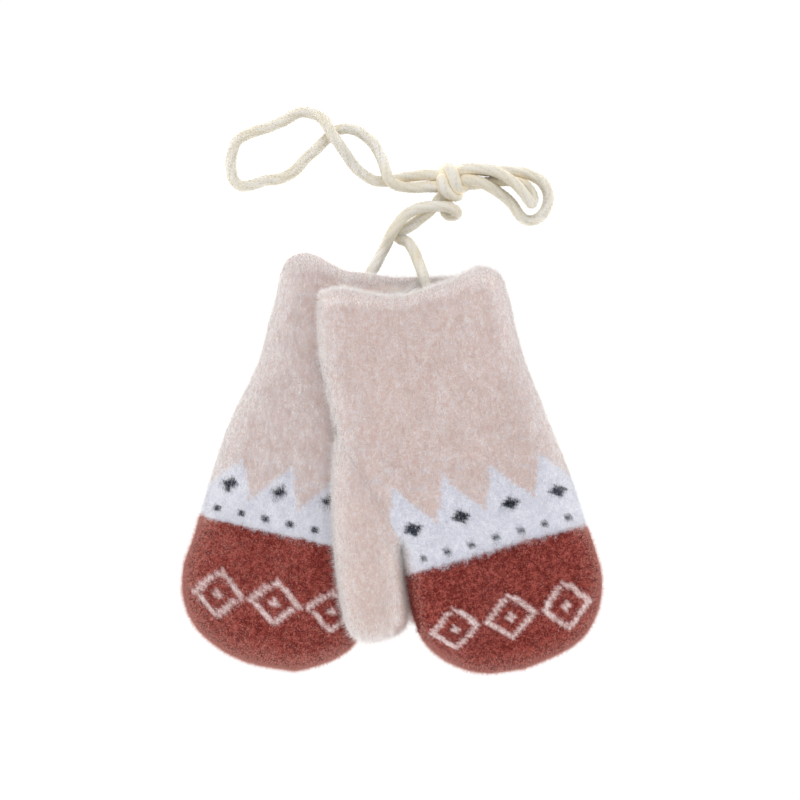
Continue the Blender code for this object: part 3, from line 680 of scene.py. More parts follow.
design = {
    "stitch": (1.25, 1.1),                   # width and height
    "thumbRib": 0.75,                        # from rib to rib on the thumb
    "snowStart": {"right": 9.3, "left": 9.0},   # rows of the hand
    "rustStart": 11.0,
    "peakEvery": 14,                         # stitches from peak to peak
    "peakTall": 14,
    "starAbove": 13,                         # stitches above the rust
    "starSize": 2,
    "dots": {"every": 7, "wide": 2, "up": (3, 4)},
    "diamondEvery": 16,
    "diamondSize": 6,
    "diamondBelow": 21,                      # stitches below the edge of the rust
    "floatRows": (6.2, 8.4),                 # where spare yarn shows faintly through
    "floatFrom": 0.42,
    "floatStreak": (1 / 7.0, 1 / 1.6),       # across and along, in a mm
    "floatSeed": {"right": 21.0, "left": 33.0},
}
# the last zone, the light pink, is painted light and is not knitted
zoneNames = ["pink", "snow", "charcoal", "rust", "frost", "float", "thumbPink", "mouthPink"]
zoneOf = {name: number for number, name in enumerate(zoneNames)}
# painted light in the light pink, standing in for light through the knit: mm from the mouth and beside the
# upper mitten, and less so past x
paintedRimLight = {"deep": 7.0, "beside": 7.0, "x": (3.0, 10.0), "less": (1, 0.4), "skin": 0.5}
# painted shade in the crotch of the thumb, mm: where the crotch lies, how far round it and how far in its
# painted shade reaches; there the white is painted pink
crotch = {"x": 5.5, "over": 4.5, "below": (-28.0, -38.0), "least": 0.3, "deep": 2.3, "skin": 0.6,
          "share": 0.6, "deeper": 1.7}


def lengthTo(side, at):
    # distance along the middle of the hand, from the mouth to a row
    rows = alongRows(handSections[side], fineRows(lastRow))
    return np.interp(at, fineRows(lastRow), runAlong((rows[:, :2] + rows[:, 2:]) / 2))


def spotsAt(side, points):
    # faint streaks across the hand, where the pattern's spare yarn lies behind the cloth
    streaks = points * design["floatStreak"]
    return np.array([noise.noise(Vector((x, y, design["floatSeed"][side]))) for x, y in streaks])


def zoneAt(side, rows, share, face, spots):
    # which yarn is knitted at each place, by its stitch
    wide, tall = design["stitch"]
    column = np.floor((share - 0.5) * widthOf(alongRows(handSections[side], rows)) / wide + 0.5).astype(int)
    rustAt, snowAt = [lengthTo(side, [row])[0] for row in (design["rustStart"], design["snowStart"][side])]
    below = (lengthTo(side, rows) - rustAt) / tall
    up = np.floor(-below).astype(int)          # stitches above the rust
    down = np.floor(below).astype(int)
    every = design["peakEvery"]
    slope = np.abs(column % every - every // 2)
    top = (rustAt - snowAt) / tall + design["peakTall"] * (1 - slope / (every // 2))
    zone = np.zeros(len(rows), int)
    low, high = design["floatRows"]
    zone[(spots > design["floatFrom"]) & (rows > low) & (rows < high)] = zoneOf["float"]
    snow = (below <= 0) & (-below < top)
    zone[snow] = zoneOf["snow"]
    zone[below > 0] = zoneOf["rust"]
    front = face < 0.5
    star = slope + np.abs(up - design["starAbove"]) <= design["starSize"]
    dots = (column % design["dots"]["every"] < design["dots"]["wide"]) & np.isin(up, design["dots"]["up"])
    zone[snow & front & (star | dots)] = zoneOf["charcoal"]
    step = design["diamondEvery"]
    out = np.abs((column + step // 2) % step - step // 2)
    far = out + np.abs(down - design["diamondBelow"])
    size = design["diamondSize"]
    inRow = np.abs(column) <= step + step // 2
    lines = (far == size) | (far == size + 1) | (far <= 1)
    zone[(below > 0) & front & inRow & lines] = zoneOf["frost"]
    return zone


def roundedShares(count):
    # shares across, a little closer together at the folds
    even = np.arange(count + 1) / count
    return 0.6 * even + 0.4 * (1 - np.cos(np.pi * even)) / 2


handGrid = {
    "half": 60,       # faces across the front
    "rows": [0, 0.02, 0.05, 0.1, 0.18, 0.3, *np.linspace(0.46, 5, 28), *np.linspace(5, 10, 36)[1:],
             *np.linspace(10, 17.3, 50)[1:], 17.55, 17.75, 17.9, 18.0],
    "thumbRings": 46,
    "thumbRoot": 6,   # of them before its first section
    "thumbTip": (0.4, 0.2, 0.07),
    "rootRows": 4,    # over which the thumb leaves the form of the hand's side
}


def rimRounding(away):
    # how far the rim's skin lies in from the cloth's face, by distance from the mouth
    return handShape["lip"] * (1 - rounded(away, handShape["lip"]))


def gridOf(side, frontFlat, backFlat, away, joined):
    # heights for two grids of points, front and back; joined marks where the two meet
    count, across = joined.shape
    front, back = frontFlat.reshape(-1, 2), backFlat.reshape(-1, 2)
    high, _, deep = heightsAt(side, front)
    _, low, _ = heightsAt(side, back)
    full, at, over = handShape["hem"]
    hem = full * bell(away, over, at) * handShape["hemShare"][side]
    inward = np.clip(deep / swell["from"], 0, 1)
    high = high + swellAt(side, front, deep) + np.repeat(hem, across) * inward
    drop = np.repeat(rimRounding(away), across)
    front = np.column_stack([front, high - drop]).reshape(count, across, 3)
    back = np.column_stack([back, low + drop]).reshape(count, across, 3)
    middle = (front + back) / 2
    front[joined] = middle[joined]
    back[joined] = middle[joined]
    return front, back


def clothPiece(name, side, front, back, joined, rows, share):
    # one skin from two grids of points, the back's points left out where they are the front's
    # its facts are each point's row, share across and face: 0 for the front, 1 for the back
    count, across = joined.shape
    frontIds = np.arange(count * across).reshape(count, across)
    backIds = frontIds.copy()
    own = ~joined
    backIds[own] = count * across + np.arange(own.sum())
    grid = np.dstack(np.meshgrid(rows, share, indexing="ij"))
    frontFacts, backFacts = [np.dstack([grid, np.full(joined.shape, face)]) for face in (0.0, 1.0)]
    points = np.vstack([front.reshape(-1, 3), back[own]]) * mm
    facts = np.vstack([frontFacts.reshape(-1, 3), backFacts[own]])
    faces = []
    for ids, turned in ((frontIds, side == "left"), (backIds, side == "right")):
        a, b = ids[:-1, :-1].ravel(), ids[1:, :-1].ravel()
        c, d = ids[1:, 1:].ravel(), ids[:-1, 1:].ravel()
        faces += np.column_stack([d, c, b, a] if turned else [a, b, c, d]).tolist()
    if side == "left":
        points[:, 0] *= -1
    return newMesh(name + side.capitalize(), points, faces, []), facts


def buildHand(side):
    rows = np.array(handGrid["rows"])
    share = roundedShares(handGrid["half"])
    joined = np.zeros((len(rows), len(share)), bool)
    joined[(rows <= thumbRows[0]) | (rows >= thumbRows[1]), 0] = True
    joined[:, -1] = True
    joined[-1] = True
    front, back = gridOf(side, sectionPoints(side, rows, share, 0), sectionPoints(side, rows, share, 1),
                         lengthTo(side, rows), joined)
    piece, facts = clothPiece("hand", side, front, back, joined, rows, share)
    seamRows = (rows >= thumbRows[0]) & (rows <= thumbRows[1])
    return piece, facts, front[seamRows, 0], back[seamRows, 0]


def buildThumb(side, seamFront, seamBack):
    # the first ring is the hand's open side, point for point
    sections = spreadThumb(side)
    across = len(seamFront)
    run = runAlong(seamFront[:, :2])
    seamShare = run / run[-1]
    root = handGrid["thumbRoot"]
    tip = lastThumbRow - np.array(handGrid["thumbTip"])
    rows = np.concatenate([np.linspace(-1, 0, root)[:-1],
                           np.linspace(0, tip[0], handGrid["thumbRings"] - root),
                           tip[1:], [lastThumbRow]])
    straight = seamFront[0, :2] + (seamFront[-1, :2] - seamFront[0, :2]) * seamShare[:, None]
    bow = seamFront[:, :2] - straight
    flats = []
    for row in rows:
        ends = alongRows(sections, [max(row, 0)])[0]
        blend = min(1.0, (max(row, 0) + 1) / handGrid["rootRows"])
        share = seamShare * (1 - blend) + roundedShares(across - 1) * blend
        points = ends[:2] + (ends[2:] - ends[:2]) * share[:, None] + bow * (1 - blend)
        if row < 0:
            points = seamFront[:, :2] + (points - seamFront[:, :2]) * (row + 1)
        flats.append(points)
    flats = np.array(flats)
    joined = np.zeros(flats.shape[:2], bool)
    joined[:, 0] = joined[:, -1] = joined[-1] = True
    front, back = gridOf(side, flats, flats, np.full(len(rows), farFromRim), joined)
    front[0], back[0] = seamFront, seamBack
    return clothPiece("thumb", side, front, back, joined, rows, np.linspace(0, 1, across))


knitLook = {
    "finish": {"Roughness": 0.95, "Specular IOR Level": 0.15, "Sheen Weight": 0.12, "Sheen Roughness": 0.6},
    "flecks": {"Scale": 2000.0, "Detail": 2.0, "Roughness": 0.6},
    "tufts": {"Scale": 650.0, "Detail": 2.0, "Roughness": 0.6},
    "clouds": {"Scale": 110.0, "Detail": 2.0},
    "tuftShare": 0.8,
    "brushed": {"From Min": 0.80, "From Max": 1.08},   # from the deep yarn in the relief's hollows to its brushed ends on its tops: partly painted shade
    "cloudTones": {"From Min": 0.3, "From Max": 0.7, "To Min": 0.96, "To Max": 1.04},
    "relief": {"Strength": 0.7, "Distance": 0.0005},
}


def knitMaterial(name):
    # brushed knit: the yarn's colour from the stitches, clouded and flecked, with a felted relief; its
    # hollows painted deeper and its tops lighter, partly painted shade
    material, tree, shader = newMaterial(name, knitLook["finish"])
    deep = addNode(tree, "ShaderNodeAttribute", attribute_name="yarnDeep")
    brushed = addNode(tree, "ShaderNodeAttribute", attribute_name="yarnBrushed")
    place = addNode(tree, "ShaderNodeTexCoord")
    flecks, tufts, clouds = [addNode(tree, "ShaderNodeTexNoise", knitLook[texture])
                             for texture in ("flecks", "tufts", "clouds")]
    for texture in (flecks, tufts, clouds):
        wire(tree, place, "Object", texture, "Vector")
    height = addNode(tree, "ShaderNodeMath", {1: knitLook["tuftShare"]}, operation="MULTIPLY_ADD")
    wire(tree, tufts, "Fac", height, 0)
    wire(tree, flecks, "Fac", height, 2)
    light = addNode(tree, "ShaderNodeMapRange", knitLook["brushed"])
    wire(tree, height, "Value", light, "Value")
    colour = blendColours(tree, light.outputs["Result"], deep.outputs["Color"], brushed.outputs["Color"])
    tone = addNode(tree, "ShaderNodeMapRange", knitLook["cloudTones"])
    wire(tree, clouds, "Fac", tone, "Value")
    grey = addNode(tree, "ShaderNodeCombineColor")
    for channel in ("Red", "Green", "Blue"):
        wire(tree, tone, "Result", grey, channel)
    colour = blendColours(tree, 1.0, colour, grey.outputs["Color"], "MULTIPLY")
    tree.links.new(colour, shader.inputs["Base Color"])
    relief = addNode(tree, "ShaderNodeBump", knitLook["relief"])
    wire(tree, height, "Value", relief, "Height")
    wire(tree, relief, "Normal", shader, "Normal")
    return material


def colourOf(names, shade):
    # the knit under the nap has the colours of its yarn
    table = {name: np.array(yarns[name][shade]) for name in yarnNames}
    table["float"] = (table["pink"] + table["snow"]) / 2
    return np.array([table[name] for name in names])


def paintedLightAtRims(side, facts, flat, reach):
    # where painted light goes: the cloth that shows between the two rims, and the inside of each mouth
    deep = lengthTo(side, facts[:, 0])
    reach = reach * np.interp(flat[:, 0], paintedRimLight["x"], paintedRimLight["less"])
    beside = (toOther(side, flat) < paintedRimLight["beside"] * reach) & (side == "left")
    return (deep < paintedRimLight["deep"]) & (beside | (facts[:, 2] > 0.5))


def crotchShadeMask(flat, fold, reach):
    # the edge in the crotch of the thumb, where painted shade goes; the hand's white there is painted pink,
    # as a warm shade
    near = np.abs(flat[:, 0] - crotch["x"]) < crotch["over"]
    return near & (fold < crotch["deep"] * reach) & (flat[:, 1] < crotch["below"][0])


def colourHand(side, hand, facts):
    flat = asDrawn(side, np.array([v.co[:] for v in hand.data.vertices]))
    zones = zoneAt(side, *facts.T, spotsAt(side, flat))
    # painted light between the rims and in the mouths, and a pink ground under the painted shade in the
    # crotch
    zones[paintedLightAtRims(side, facts, flat, paintedRimLight["skin"])] = zoneOf["mouthPink"]
    crotchShaded = crotchShadeMask(flat, edgeDistance(flat, outlines[side][0]), crotch["skin"])
    zones[(zones == zoneOf["snow"]) & crotchShaded] = zoneOf["pink"]
    for shade, layer in ((1, "yarnDeep"), (2, "yarnBrushed")):
        paintPoints(hand, layer, colourOf([zoneNames[zone] for zone in zones], shade))
    hand.data.materials.append(knitMaterial("handKnit" + side.capitalize()))


def colourThumb(side, thumb, facts):
    own = np.clip(facts[:, :1] / handShape["thumbBlend"], 0, 1)
    for shade, layer in ((1, "yarnDeep"), (2, "yarnBrushed")):
        paintPoints(thumb, layer, colourOf(["pink"], shade) * (1 - own)
                    + colourOf(["thumbPink"], shade) * own)
    thumb.data.materials.append(knitMaterial("thumbKnit" + side.capitalize()))


def surfaceOf(piece):
    # the skin's points, normals and triangles, before it gets its wall
    mesh = piece.data
    mesh.calc_loop_triangles()
    corners = np.array([t.vertices[:] for t in mesh.loop_triangles])
    points = np.array([v.co[:] for v in mesh.vertices])
    normals = np.array([v.vector[:] for v in mesh.vertex_normals])
    return points, normals, corners


def wallUp(piece, facts):
    skinFaces = len(piece.data.polygons)
    wall = piece.modifiers.new("wall", "SOLIDIFY")
    wall.thickness = handShape["wall"] * mm
    wall.offset = -1
    wall.use_rim = True
    bpy.context.view_layer.objects.active = piece
    bpy.ops.object.modifier_apply(modifier=wall.name)
    # only the mouth's rim is rounded; the open sides where thumb and hand meet stay crisp inside
    smooth = np.ones(len(piece.data.polygons), bool)
    for face in list(piece.data.polygons)[2 * skinFaces:]:
        outer = [v for v in face.vertices if v < len(facts)]
        smooth[face.index] = all(0 <= facts[v][0] < 1 for v in outer) and "hand" in piece.name
    piece.data.polygons.foreach_set("use_smooth", smooth)
    piece.data.update()


mittenPieces = {}   # for each side its hand and its thumb, each with its facts and its skin
for side in ("left", "right"):
    hand, handFacts, seamFront, seamBack = buildHand(side)
    thumb, thumbFacts = buildThumb(side, seamFront, seamBack)
    colourHand(side, hand, handFacts)
    colourThumb(side, thumb, thumbFacts)
    mittenPieces[side] = [(hand, handFacts, surfaceOf(hand)), (thumb, thumbFacts, surfaceOf(thumb))]
    for (piece, facts, _), kind in zip(mittenPieces[side], ("hand", "thumb")):
        wallUp(piece, facts)
        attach(piece, "root")
        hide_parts(f"{kind}_{side}")
    print(f"the {side} mitten has {len(hand.data.polygons) + len(thumb.data.polygons)} faces")


# the brushed nap: short down all over, and a few longer hairs that make the soft edge

nap = {   # counts for the right and left mitten, then mm: length, how far it stands off, width
    # turned: how its thickness follows the way a face looks, up or down
    "frontDown": {"right": 185000, "left": 150000, "long": (0.7, 1.9), "rise": 0.26, "most": 0.9,
                  "wide": (0.06, 0.13), "turned": (2, 1), "seed": 100},
    "backDown": {"right": 70000, "left": 70000, "long": (0.8, 2.0), "rise": 0.28, "most": 1.0,
                 "wide": (0.09, 0.16), "turned": (-2, 0.6), "seed": 200},
    "halo": {"right": 95000, "left": 75000, "long": (1.1, 2.9), "rise": 1.30, "most": 2.8,
             "wide": (0.05, 0.085), "rim": {"right": 2.4, "left": 0.8}, "seed": 300},
    "mouthDown": {"right": 16000, "left": 10000, "long": (0.8, 2.0), "rise": 0.35, "most": 1.0,
                  "wide": (0.09, 0.15), "seed": 400},
}
growing = {   # where each kind grows
    "mouthFrom": 0.04,            # the mouths lie past this, m
    "rimRows": 0.3,
    "inside": (1.6, -0.3),        # rows down the inside of the back, on faces that look down
    "seam": (0.03, -0.6, 1.6),    # share and row beside the thumb's seam, and how much fuller it is
    "toe": (0.25, 2.5),           # rows beside the rust's edge, and how much fuller it is
    "edge": (1.8, 0.03),          # mm over which the halo thins out from the folds, and the rest
    "underneath": (-0.6, 0.3),    # how far a face looks down, and the halo's share there
    "hidden": {"left": 0.2, "right": -0.2},   # how far a face looks towards the other mitten
    "apart": 0.5,                 # mm from the other mitten
    "lying": (0.8, 0.3),          # near the floor, mm, it stands off only by this share
}
leftSeed = 7            # added to each kind's seed on the left mitten
tufts = {   # across, along and thick, m, and share: combed along the cuff, crumbly at the toe
    "cuff": [(0.00075, 0.0022, 0.0012, 1.0), (0.0016, 0.0040, 0.0016, 0.5), (0.006, 0.006, 0.006, 0.35)],
    "toe": [(0.00042, 0.00055, 0.00042, 1.0), (0.0013, 0.0013, 0.0013, 0.35),
            (0.005, 0.005, 0.005, 0.35)],
    "strength": 1.6,
}
combing = {   # on the cuff and at the toe
    "rows": (9.5, 11.0), "spread": (0.35, 1.2), "long": (1.0, 0.6), "rise": (1.05, 0.65),
    "turned": [-1, 1, 1, 1],      # a quarter of the fibres point the other way
    "rimSpread": 0.5, "rimWay": (0, 1.2, 0),     # the halo on a rim stands out of the mouth
}
mingle = {   # how the colours mingle: stray rows and shares across, and teeth along their edges
    "rows": 0.10, "share": 0.010, "blur": (0.5, 1.4), "shares": (0.7, 0.3),
    "teeth": 0.10, "toothSize": 1.5, "from": 8.3, "atToe": 2, "float": 0.35,
}
shadeShares = {   # of the yarn itself and its shaded depth; the rest are light brushed ends
    "pink": (0.40, 0.34), "thumbPink": (0.40, 0.34), "snow": (0.46, 0.27), "charcoal": (0.5, 0.42),
    "rust": (0.40, 0.42), "frost": (0.5, 0.24), "mouthPink": (0.40, 0.30),
}
toneAndPaintedLight = {   # how light a fibre comes out, from its middle value, by what is added: random tone, and painted light and painted shade by where it lies
    "middle": 0.5, "chance": 0.22, "toeChance": 0.22,
    "tuft": (0.60, 0.36),         # hand and thumb, as for the wales
    # painted light on the columns of stitches, painted shade in the furrows
    "wale": (0.36, 0.65),
    "rise": (0.22, 0.8, 0.07),    # painted light on fibres standing up this many mm, less when lying
    "seam": (0.02, -0.75, 0.25),  # painted light beside the thumb's seam: share and row, and how much
    "lower": ((0.0, 4.0, 14.0), (0.05, 0.25, 0.40)),   # painted shade on the lower mitten by the upper one and painted light on its free side, by mm from the upper one
    "fold": (1.2, {"right": 6.2, "left": 5.6}),        # painted light along the folds, over mm
    # painted light along the rims, over mm
    "rim": (1.45, {"right": 4.3, "left": 2.4}),
    "upperRim": (0.7, 1.4, 2.4),  # painted light on the upper mitten's fluff, lightest over mm, a little in
    "upperLip": (0.5, 0.7),       # and painted shade at the very rim
    # painted shade in a line below the rim: how much, over mm, and how far in
    "belowRim": (0.25, 1.3, 5.6),
    # painted light on the halo and inside the mouths
    "kind": {"halo": 0.7, "mouthDown": 1.0},
    "haze": 1.28,                 # from here on it is haze
    "edge": (2.4, 1.0, 2.0),      # painted light: mm of the lightest down at the edge, from which value it is so
}


def tuftsAt(points, rows):
    # the brushed fibres hold together in tufts: about -1 to 1
    cuff, toe = [sum(share * cloudy(points / size, 1.0, 3.0) for *size, share in tufts[name])
                 for name in ("cuff", "toe")]
    return tufts["strength"] * np.where(rows < sum(combing["rows"]) / 2, cuff, toe)


def waleAt(side, facts, isThumb):
    # 1 on a column of stitches and 0 in the furrow beside it
    wide = np.where(isThumb == 1, design["thumbRib"], design["stitch"][0])
    width = np.where(isThumb == 1, widthOf(alongRows(thumbSections, np.maximum(facts[:, 0], 0))),
                     widthOf(alongRows(handSections[side], facts[:, 0])))
    return 0.5 + 0.5 * np.cos(2 * np.pi * (facts[:, 1] - 0.5) * width / wide)


def besideSeam(facts, share, row):
    # beside the seam of the thumb, on the hand and on the thumb
    rows = facts[:, 0]
    return (rows > thumbRows[0]) & (rows < thumbRows[1]) & (facts[:, 1] < share), rows < row


def toeEdge(facts):
    return bell(facts[:, 0], growing["toe"][0], design["rustStart"])


def napWeight(side, kind, centre, facing, facts):
    # how thickly each kind of nap grows on each face of the skin
    up = facing[:, 2]
    inMouth = centre[:, 1] > growing["mouthFrom"]
    if kind == "mouthDown":
        depth, down = growing["inside"]
        return ((facts[:, 0] < depth) & (facts[:, 2] > 0.5) & (up < down) & inMouth).astype(float)
    if kind == "halo":
        over, rest = growing["edge"]
        weight = rest + bell(edgeDistance(asDrawn(side, centre), outlines[side][0]), over)
        weight = weight * np.where(up < growing["underneath"][0], growing["underneath"][1], 1.0)
    else:
        steep, level = nap[kind]["turned"]
        weight = np.clip(up * steep + level, 0, 1)
    if kind == "frontDown":
        share, row, fuller = growing["seam"]
        onHand, onThumb = besideSeam(facts, share, row)
        weight = weight * np.where(onHand | onThumb, fuller, 1 + growing["toe"][1] * toeEdge(facts))
    # nothing grows where the two mittens lie on each other
    hidden = (up > growing["hidden"][side]) if side == "left" else (up < growing["hidden"][side])
    hidden &= toOther(side, asDrawn(side, centre)) <= growing["apart"]
    weight = weight * np.where(hidden, 0.0, 1.0)
    if kind == "halo":
        weight = weight + nap[kind]["rim"][side] * ((facts[:, 0] < growing["rimRows"]) & inMouth)
    return weight


def napRoots(side, kind, dice):
    # random places on the skin, each with its normal, its facts and whether it is on the thumb
    parts = []
    for _, facts, (points, normals, corners) in mittenPieces[side]:
        a, b, c = points[corners[:, 0]], points[corners[:, 1]], points[corners[:, 2]]
        area = np.linalg.norm(np.cross(b - a, c - a), axis=1) / 2
        facing = unit(normals[corners].mean(1))
        weight = area * napWeight(side, kind, (a + b + c) / 3, facing, facts[corners].mean(1))
        parts.append((points, normals, corners, facts, weight))
    totals = np.array([part[4].sum() for part in parts])
    found = []
    for isThumb, ((points, normals, corners, facts, weight), share) in enumerate(
            zip(parts, totals / totals.sum())):
        number = int(round(nap[kind][side] * share))
        if not number:
            continue
        pick = dice.choice(len(corners), number, p=weight / weight.sum())
        mix = dice.dirichlet((1, 1, 1), number)[:, :, None]
        three = corners[pick]
        found.append(((points[three] * mix).sum(1), unit((normals[three] * mix).sum(1)),
                      (facts[three] * mix).sum(1), np.full(number, isThumb)))
    return [np.concatenate(values) for values in zip(*found)]


def yarnOf(side, kind, flat, roots, facts, isThumb, dice):
    # the yarn zone that each fibre belongs to; some fibres stray further than others
    count = len(facts)
    blur = dice.choice(mingle["blur"], count, p=mingle["shares"])
    teeth = np.zeros(count)
    coloured = facts[:, 0] > mingle["from"]
    teeth[coloured] = cloudy(roots[coloured], mingle["toothSize"] * mm, 15.0)
    teeth *= mingle["teeth"] * (1 + mingle["atToe"] * toeEdge(facts))
    zones = zoneAt(side, facts[:, 0] + teeth + dice.normal(0, mingle["rows"], count) * blur,
                   facts[:, 1] + dice.normal(0, mingle["share"], count) * blur, facts[:, 2],
                   spotsAt(side, flat))
    # painted light between the rims and inside the mouths: the light pink
    if kind != "backDown":
        reach = dice.uniform(0.5, 2.0, count)
        zones[paintedLightAtRims(side, facts, flat, reach) & (isThumb == 0)] = zoneOf["mouthPink"]
    own = dice.uniform(0, handShape["thumbBlend"], count) < facts[:, 0]
    zones[isThumb == 1] = zoneOf["pink"]
    zones[(isThumb == 1) & own] = zoneOf["thumbPink"]
    return zones


def yarnSlots(side, kind, roots, facts, isThumb, rise, dice):
    # the shade of each fibre
    flat = asDrawn(side, roots)
    count = len(facts)
    zones = yarnOf(side, kind, flat, roots, facts, isThumb, dice)
    # painted light where it stands up, on top of a stitch, beside the thumb's seam, along folds and rims,
    # on the halo and inside the mouths; painted shade in the furrows, by the upper mitten, at the upper
    # mitten's very rim, below the rim and in the crotch; and in a light tuft
    rows = np.where(isThumb == 1, 0, facts[:, 0])
    order = toneAndPaintedLight["middle"] + toneAndPaintedLight["chance"] * dice.uniform(-1, 1, count)
    order += np.where(isThumb == 1, toneAndPaintedLight["tuft"][1], toneAndPaintedLight["tuft"][0]) * tuftsAt(roots, rows)
    much, high, lying = toneAndPaintedLight["rise"]
    order += much * np.clip(rise / (high * mm), 0, 1) - lying
    ribs = waleAt(side, facts, isThumb) - 0.5
    order += np.where(isThumb == 1, toneAndPaintedLight["wale"][1], toneAndPaintedLight["wale"][0]) * ribs
    order += toneAndPaintedLight["toeChance"] * dice.uniform(-1, 1, count) * (rows > design["rustStart"])
    share, row, much = toneAndPaintedLight["seam"]
    onHand, onThumb = besideSeam(facts, share, row)
    order += much * np.where(isThumb == 1, onThumb, onHand)
    if side == "left":      # painted light on its free side, painted shade on its side by the upper mitten
        order += np.interp(toOther(side, flat), *toneAndPaintedLight["lower"])
    fold = edgeDistance(flat, outlines[side][0])
    rim = np.where(isThumb == 1, farFromRim, lengthTo(side, facts[:, 0]))
    order += toneAndPaintedLight["fold"][0] * bell(fold, toneAndPaintedLight["fold"][1][side])
    order += toneAndPaintedLight["rim"][0] * bell(rim, toneAndPaintedLight["rim"][1][side])
    # painted light on the upper mitten's rim fluff and painted shade at its very rim; painted shade below
    # the rims; painted light on the halo and in the mouths
    fluff, over, fluffAt = toneAndPaintedLight["upperRim"]
    if side == "right":
        order += fluff * bell(rim, over, fluffAt)
        order -= toneAndPaintedLight["upperLip"][0] * bell(rim, toneAndPaintedLight["upperLip"][1]) * (facts[:, 2] < 0.5)
    order -= toneAndPaintedLight["belowRim"][0] * bell(rim, *toneAndPaintedLight["belowRim"][1:])
    order += toneAndPaintedLight["kind"].get(kind, 0)
    # painted shade in the crotch of the thumb, deeper further down, with some white fibres turned pink
    crotchShaded = crotchShadeMask(flat, fold, dice.uniform(0.5, 1.5, count))
    start, end = crotch["below"]
    further = np.clip((flat[:, 1] - start) / (end - start), crotch["least"], 1)
    order -= crotch["deeper"] * crotchShaded * further
    pinkHere = dice.uniform(0, 1, count) < crotch["share"]
    zones[crotchShaded & (zones == zoneOf["snow"]) & pinkHere] = zoneOf["pink"]
    # painted light at the edges and on the upper rim: the pink there becomes the light pink
    wide, foldLit, rimLit = toneAndPaintedLight["edge"]
    edge = fold if side == "right" else np.minimum(fold, rim)
    lit = (edge < wide) & (order > foldLit) & ~crotchShaded
    if side == "right":
        lit |= (np.abs(rim - fluffAt) < over) & (order > rimLit)
    zones[np.isin(zones, (zoneOf["pink"], zoneOf["thumbPink"])) & lit] = zoneOf["mouthPink"]
    slots = np.zeros(count, int)
    for name, number in zoneOf.items():
        here = np.nonzero(zones == number)[0]
        if not len(here):
            continue
        names = np.array(["pink" if name == "float" else name] * len(here), object)
        stray = dice.uniform(0, 1, len(here))
        if name == "float":
            names[stray < mingle["float"]] = "snow"
        for yarn in sorted(set(names)):
            some = here[names == yarn]
            plain, deep = shadeShares[yarn]
            shade = np.digitize(order[some], [deep, deep + plain, toneAndPaintedLight["haze"]])
            slots[some] = yarnNames.index(yarn) * shadeCount + np.array([1, 0, 2, 3])[shade]
    return slots


def growNap(side, kind):
    sort = nap[kind]
    seed = sort["seed"] + (leftSeed if side == "left" else 0)
    dice = np.random.RandomState(seed)
    roots, normals, facts, isThumb = napRoots(side, kind, dice)
    count = len(roots)
    rows = np.where(isThumb == 1, 0, facts[:, 0])
    if kind == "mouthDown":      # on the inside of the back
        roots = roots - normals * handShape["wall"] * mm
        normals = -normals
    long = dice.uniform(*sort["long"], count) * mm * np.interp(rows, combing["rows"], combing["long"])
    rise = np.minimum(dice.exponential(sort["rise"], count), sort["most"]) * mm
    rise *= np.interp(rows, combing["rows"], combing["rise"])
    wide = dice.uniform(*sort["wide"], count) * mm
    low, share = growing["lying"]
    rise[roots[:, 2] < low * mm] *= share
    spread = np.interp(rows, combing["rows"], combing["spread"])[:, None]
    ways = np.array([0.0, -1.0, 0.0]) * dice.choice(combing["turned"], count)[:, None]
    ways = ways + dice.normal(0, 1, (count, 3)) * spread
    if kind == "halo":           # from all over the mouth's rim
        rim = (facts[:, 0] < growing["rimRows"]) & (roots[:, 1] > growing["mouthFrom"])
        ways[rim] = dice.normal(0, combing["rimSpread"], (rim.sum(), 3)) + combing["rimWay"]
        roots[rim] -= normals[rim] * dice.uniform(0, handShape["wall"], (rim.sum(), 1)) * mm
    slots = yarnSlots(side, kind, roots, facts, isThumb, rise, dice)
    piece = fibreMesh(kind + side.capitalize(), roots, normals, ways, long, rise, wide, slots,
                      seed + 1, bent=False)
    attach(piece, "root")


for side in ("left", "right"):
    for kind in nap:
        growNap(side, kind)
print("the nap has grown")


# floor and light

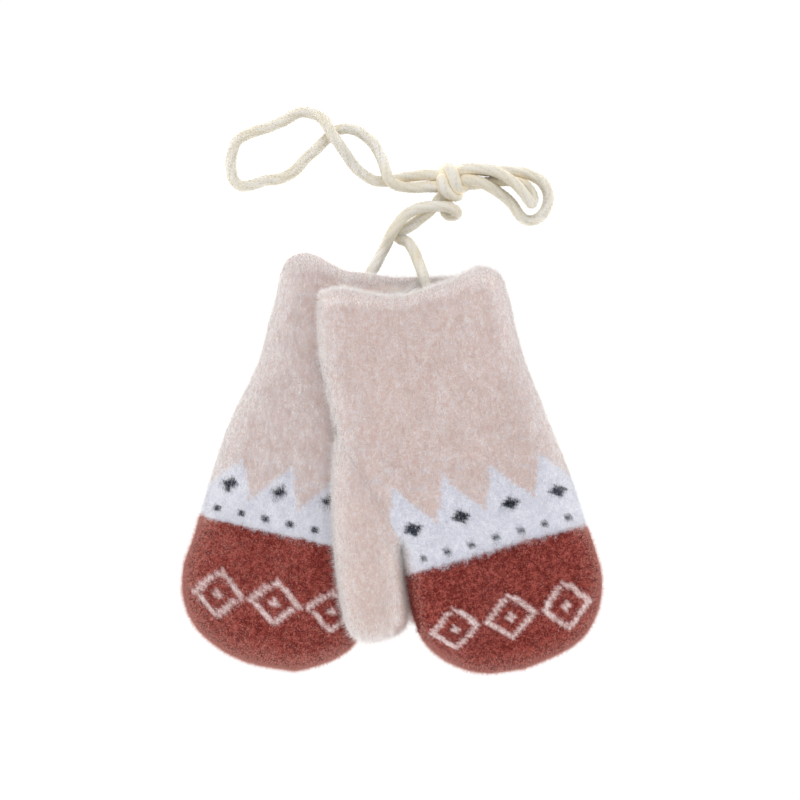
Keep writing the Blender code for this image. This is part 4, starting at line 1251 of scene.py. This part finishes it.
studio = {
    "floorSize": 3.0, "floorSeen": 1.06,
    "floor": {"Base Color": (0.93, 0.93, 0.93, 1), "Roughness": 0.9, "Specular IOR Level": 0.1,
              "Emission Color": (1, 1, 1, 1), "Emission Strength": 1.5},
    "sky": (1.0, 1.0, 1.0, 1), "skyStrength": 0.80,
    # name, place, size, watts
    "lamps": [("overhead", (-0.20, 0.25, 0.90), 0.9, 1.2), ("left", (-0.62, 0.05, 0.25), 0.45, 1.5),
              ("right", (0.62, 0.0, 0.25), 0.45, 1.3), ("top", (0.0, 0.68, 0.38), 0.45, 2.6),
              ("bottom", (0.0, -0.62, 0.25), 0.45, 1.4)],
}


def layFloor():
    bpy.ops.mesh.primitive_plane_add(size=studio["floorSize"], location=(0, 0, 0))
    floor = bpy.context.object
    floor.name = "floor"
    # a light table: it lights the wool from below, and looks an even white itself
    material, tree, shader = newMaterial("paleFloor", studio["floor"])
    even = addNode(tree, "ShaderNodeEmission", {"Strength": studio["floorSeen"]})
    path = addNode(tree, "ShaderNodeLightPath")
    both = addNode(tree, "ShaderNodeMixShader")
    wire(tree, path, "Is Camera Ray", both, 0)
    wire(tree, shader, "BSDF", both, 1)
    wire(tree, even, "Emission", both, 2)
    wire(tree, both, "Shader", tree.nodes["Material Output"], "Surface")
    floor.data.materials.append(material)


def hangLamps():
    for name, place, size, watts in studio["lamps"]:
        bpy.ops.object.light_add(type="AREA", location=place)
        lamp = bpy.context.object
        lamp.name = name
        lamp.data.shape = "DISK"
        lamp.data.size = size
        lamp.data.energy = watts
        lamp.rotation_euler = (-Vector(place)).to_track_quat("-Z", "Y").to_euler()


def lightSky():
    world = bpy.data.worlds.new("studio")
    world.use_nodes = True
    sky = world.node_tree.nodes["Background"]
    sky.inputs["Color"].default_value = studio["sky"]
    sky.inputs["Strength"].default_value = studio["skyStrength"]
    bpy.context.scene.world = world


layFloor()
hangLamps()
lightSky()
bpy.context.scene.view_settings.view_transform = "Standard"
print("the floor and the lights are in")


print("the mittens are ready")
